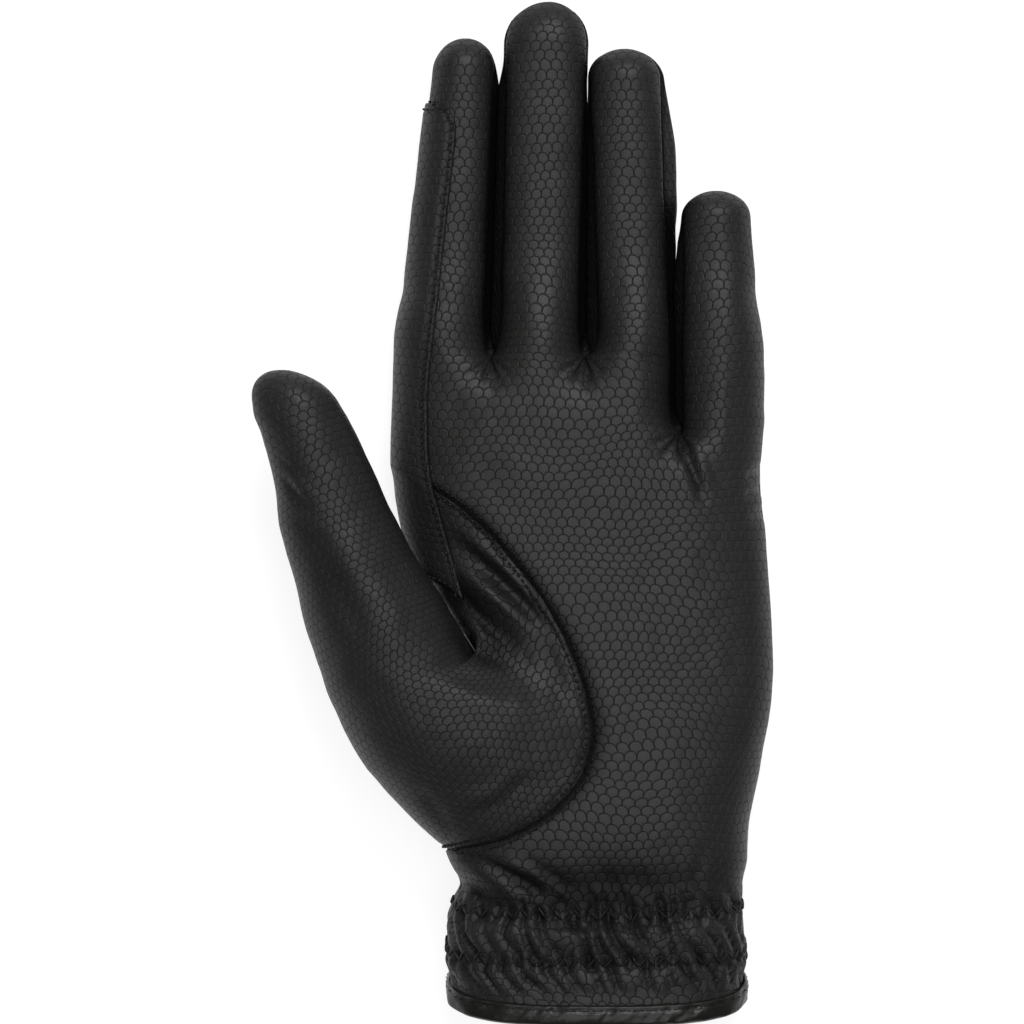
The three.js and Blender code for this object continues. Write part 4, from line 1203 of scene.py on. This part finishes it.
loop = hem_loop(.007 * palm_length, int(40 * fineness))
loop = np.concatenate([loop, loop[:1]])
ahead = np.roll(loop[:-1], -1, axis=0) - np.roll(loop[:-1], 1, axis=0)
ahead = np.concatenate([ahead, ahead[:1]])
ahead[:, 1] = 0
ahead = unit(ahead)
outward = np.stack([-ahead[:, 2], 0 * ahead[:, 0], ahead[:, 0]], -1)
mouth = binding_height - binding_wall - binding_clear
binding_seam = mouth - 1.3
out_face, in_face = binding_clear, -leather - binding_clear
swell = np.radians(np.linspace(0, 180, 13))
outer_line = [(out_face, mouth - .25), (out_face + .3, mouth)]
outer_line += [(out_face + binding_wall, mouth - .45 - t * (mouth - .2))
               for t in np.linspace(0, 1, 12)]
centre = .5 * (out_face + in_face)
half = .5 * (out_face - in_face) + binding_wall
outer_line += [(centre + half * np.cos(a), -binding_clear - binding_wall * np.sin(a))
               for a in swell[1:-1]]
outer_line += [(in_face - binding_wall, t) for t in np.linspace(-.2, mouth - .45, 5)]
outer_line += [(in_face - .3, mouth), (in_face, mouth - .25)]
outer_line += [(in_face, -binding_clear), (out_face, -binding_clear)]
outer_line = np.array(outer_line + outer_line[:1])
last_wrinkled = 23  # the wrinkles end on the fold's underside
around = length_along(loop)
down = outer_line[:, 1][None, :]
shown = np.zeros(len(outer_line))
shown[1:last_wrinkled] = 1
wrinkle = .22 * soft_noise(around[:, None] + 0 * down, down * 1.5 + 50, 3.2, 81)
wrinkle += .16 * soft_noise(around[:, None] - .8 * down, down * .6 + 50, 1.7, 82)
wrinkle -= .3 * np.exp(-((down - binding_seam) / .45) ** 2)
bulge = .28 * np.sin(np.pi * np.clip((mouth - .4 - down) / (mouth + .6), 0, 1))
offset = outer_line[:, 0][None, :] + (wrinkle + bulge) * shown[None, :]
binding_grid = loop[:, None, :] + outward[:, None, :] * offset[..., None]
binding_grid[..., 1] += outer_line[:, 1]
binding_grid[..., 2] = np.maximum(binding_grid[..., 2], 0)
binding_grid[-1] = binding_grid[0]
binding_grid = binding_grid[:, ::-1]

smooth_finish, tree, shader = new_material("smooth leather")
spot = add_node(tree, "TexCoord").outputs["Object"]
creases = add_node(tree, "TexNoise", {"Scale": 700, "Detail": 5, "Vector": spot}).outputs["Fac"]
cloud = add_node(tree, "TexNoise", {"Scale": 120, "Vector": spot}).outputs["Fac"]
set_inputs(tree, shader, {
    "Base Color": blend_colours(tree, cloud, (.006, .0058, .0052, 1), (.014, .0136, .0125, 1)),
    "Roughness": ranged(tree, creases, .26, .46),
    "Specular IOR Level": .3,
    "Normal": bumped(tree, {"Strength": .5, "Distance": .0002, "Height": creases}),
})

points, faces, corners, _ = join([binding_grid])
places = np.stack(np.broadcast_arrays(around[:, None], down), -1)[:, ::-1].reshape(-1, 2)
binding = add_mesh("binding_leather", points, faces, places[corners], smooth_finish)
binding_points, binding_normals = points, point_normals(points, faces)
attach(binding, "root")
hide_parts("hem_binding")


# Stitches. Black polyester thread: one row along the patch, a row on each side of the thumb's seam,
# two zigzag rows that hold the elastic of the cuff, and one row through the binding.

thread, tree, shader = new_material("black thread")
spot = add_node(tree, "TexCoord").outputs["Object"]
twist = add_node(tree, "TexWave", {"Scale": 1500, "Vector": spot}, bands_direction="DIAGONAL")
set_inputs(tree, shader, {
    "Base Color": (.006, .006, .006, 1), "Roughness": .5, "Specular IOR Level": .3,
    "Normal": bumped(tree, {"Distance": .00006, "Height": twist.outputs["Fac"]}),
})
thick_thread, zigzag_thread, fine_thread = .28, .25, .2


def evenly(path, step):
    """A path's points, set at an even distance of about step along it."""
    length = length_along(path)
    count = max(2, int(round(length[-1] / step)) + 1)
    at = np.linspace(0, length[-1], count)
    return np.stack([np.interp(at, length, path[:, n]) for n in range(path.shape[1])], -1)


def settle(path, points, normals, raise_by):
    """Moves a path's points onto the plane that touches the surface at its nearest point."""
    found = []
    for part in np.array_split(path, max(1, len(path) // 60)):
        gap = ((part[:, None, :] - points[None, :, :]) ** 2).sum(-1)
        found.append(gap.argmin(axis=1))
    near = np.concatenate(found)
    normal = normals[near]
    off = np.sum((path - points[near]) * normal, axis=1, keepdims=True)
    return path - normal * (off - raise_by), normal


def stitches(name, rows, radius):
    """Thread stitches, each a six-sided bar whose ends dive into the leather: rings at five places,
    thick in the middle, sunk at both ends. Rows are (starts, stops, normals)."""
    start = np.concatenate([row[0] for row in rows])
    stop = np.concatenate([row[1] for row in rows])
    normal = np.concatenate([row[2] for row in rows])
    side = unit(np.cross(unit(stop - start), normal))
    place = np.array([0, .18, .5, .82, 1])
    thick = radius * np.array([.45, .95, 1.05, .95, .45])
    sink = radius * np.array([-2.2, .1, .35, .1, -2.2])
    turn = np.radians(np.arange(6) * 60)
    spine = mix(start[:, None, :], stop[:, None, :], place[None, :, None])
    spine = spine + normal[:, None, :] * sink[None, :, None]
    ring = (side[:, None, None, :] * np.cos(turn)[None, None, :, None]
            + normal[:, None, None, :] * np.sin(turn)[None, None, :, None])
    points = spine[:, :, None, :] + ring * thick[None, :, None, None]
    own = np.arange(30).reshape(5, 6)
    a, b = own[:-1], np.roll(own, -1, axis=1)[:-1]
    d, e = own[1:], np.roll(own, -1, axis=1)[1:]
    caps = [(0, n, n + 1) for n in range(1, 5)] + [(24, 24 + n + 1, 24 + n) for n in range(1, 5)]
    faces = np.concatenate([np.stack([a, e, b], -1).reshape(-1, 3),
                            np.stack([a, d, e], -1).reshape(-1, 3), caps])
    every = (faces[None] + 30 * np.arange(len(start))[:, None, None]).reshape(-1, 3)
    points = points.reshape(-1, 3)
    centre = points.reshape(-1, 30, 3).mean(axis=1)
    a, b, c = (points[every[:, n]] for n in range(3))
    outward = np.sum(np.cross(b - a, c - a) * (a - np.repeat(centre, len(faces), 0)), axis=1)
    if outward.mean() < 0:
        every = every[:, ::-1]
    piece = add_mesh(name, points, every, np.zeros((every.size, 2)), thread)
    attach(piece, "root")


def stitch_row(path, surface, length=1.25, gap=.45, raise_by=.18):
    """Straight stitches along a path on a surface."""
    laid = evenly(path, length + gap)
    points, normals = surface
    middle, normal = settle(.5 * (laid[:-1] + laid[1:]), points, normals, raise_by)
    ahead = laid[1:] - laid[:-1]
    ahead = unit(ahead - normal * np.sum(ahead * normal, axis=1, keepdims=True))
    return middle - ahead * length / 2, middle + ahead * length / 2, normal


patch_surface = (patch_points, patch_normals)
stitches("patch_stitches", [stitch_row(patch_grid[:, -3], patch_surface),
                            stitch_row(patch_grid[2, -24:-3], patch_surface),
                            stitch_row(patch_grid[-4, -24:-3], patch_surface)], thick_thread)

front_seam = hole_seam(1, 240)
palm_side = np.cross(unit(np.gradient(front_seam, axis=0)), upward)
palm_side *= np.sign(np.sum(palm_side * (front_seam - [-20, 80, 20]), axis=1))[:, None]
thumb_row = thumb_grid(turns, 190)[0]
thumb_arc = arc_along(thumb_row)
inner_path = np.stack([[np.interp(1.5, thumb_arc[:, c], thumb_row[:, c, n]) for n in range(3)]
                       for c in range(len(turns))])
stitches("thumb_stitches", [
    stitch_row(front_seam[4:-16] + palm_side[4:-16] * 1.5, (palm_points, palm_normals)),
    stitch_row(inner_path, (thumb_points, thumb_normals)),
], thick_thread)

tooth_pitch, tooth_height = 1.95, 1.25
for n, y in enumerate(zigzag_rows):
    rows = []
    for panel, surface in ((1, (palm_points, palm_normals)), (-1, (back_points, back_normals))):
        angles = np.linspace(-90, 90, 60)
        line = np.concatenate([strip_surface(k, angles[1:], y, panel) for k in range(4)])
        length = length_along(line)
        teeth = int(length[-1] / tooth_pitch)
        at = np.linspace(0, length[-1], teeth)
        path = np.stack([np.interp(at, length, line[:, axis]) for axis in range(3)], -1)
        path[:, 1] += tooth_height * (-1.0) ** np.arange(teeth)
        path, normal = settle(path, *surface, .1)
        rows.append((path[:-1], path[1:], normal[:-1]))
    stitches("zigzag_stitches_" + str(n + 1), rows, zigzag_thread)

hem_path = loop + outward * 1.0
hem_path[:, 1] += binding_seam
hem_row = stitch_row(hem_path, (binding_points, binding_normals), 2.4, .8, .05)
stitches("binding_stitches", [hem_row], fine_thread)


# Studio: a pale floor, two wide soft lamps and a soft surround, seen from straight above.

floor = bpy.data.meshes.new("floor")
floor.from_pydata([(-4, -4, 0), (4, -4, 0), (4, 4, 0), (-4, 4, 0)], [], [(0, 1, 2, 3)])
floor_piece = bpy.data.objects.new("floor", floor)
bpy.context.scene.collection.objects.link(floor_piece)
paper, tree, shader = new_material("pale floor")
set_inputs(tree, shader, {
    "Base Color": (.3, .3, .3, 1), "Roughness": .9,
    "Emission Color": (1, 1, 1, 1), "Emission Strength": .85,
})
floor.materials.append(paper)


def soft_lamp(name, place, aim, size, power):
    """A square soft lamp at a place, turned towards its aim."""
    lamp = bpy.data.lights.new(name, "AREA")
    lamp.shape = "SQUARE"
    lamp.size = size
    lamp.energy = power
    lit = bpy.data.objects.new(name, lamp)
    lit.location = place
    ray = mathutils.Vector(aim) - mathutils.Vector(place)
    lit.rotation_euler = ray.to_track_quat("-Z", "Y").to_euler()
    bpy.context.scene.collection.objects.link(lit)


soft_lamp("key lamp", (.15, .75, .85), (0, 0, .02), .5, 7)
soft_lamp("fill lamp", (.1, -.1, 2.0), (0, 0, .02), 1.4, 16)

world = bpy.data.worlds.new("soft surround")
world.use_nodes = True
set_inputs(world.node_tree, world.node_tree.nodes["Background"], {
    "Color": (1, 1, 1, 1), "Strength": .12})
bpy.context.scene.world = world
bpy.context.scene.view_settings.view_transform = "Standard"

camera_height, view_width = 2.4, .24576
camera = bpy.data.cameras.new("camera")
camera.sensor_width = 36
camera.lens = camera.sensor_width * camera_height / view_width
camera.clip_end = 20
eye = bpy.data.objects.new("camera", camera)
eye.location = (-.00012, -.00024, camera_height)
bpy.context.scene.collection.objects.link(eye)
bpy.context.scene.camera = eye
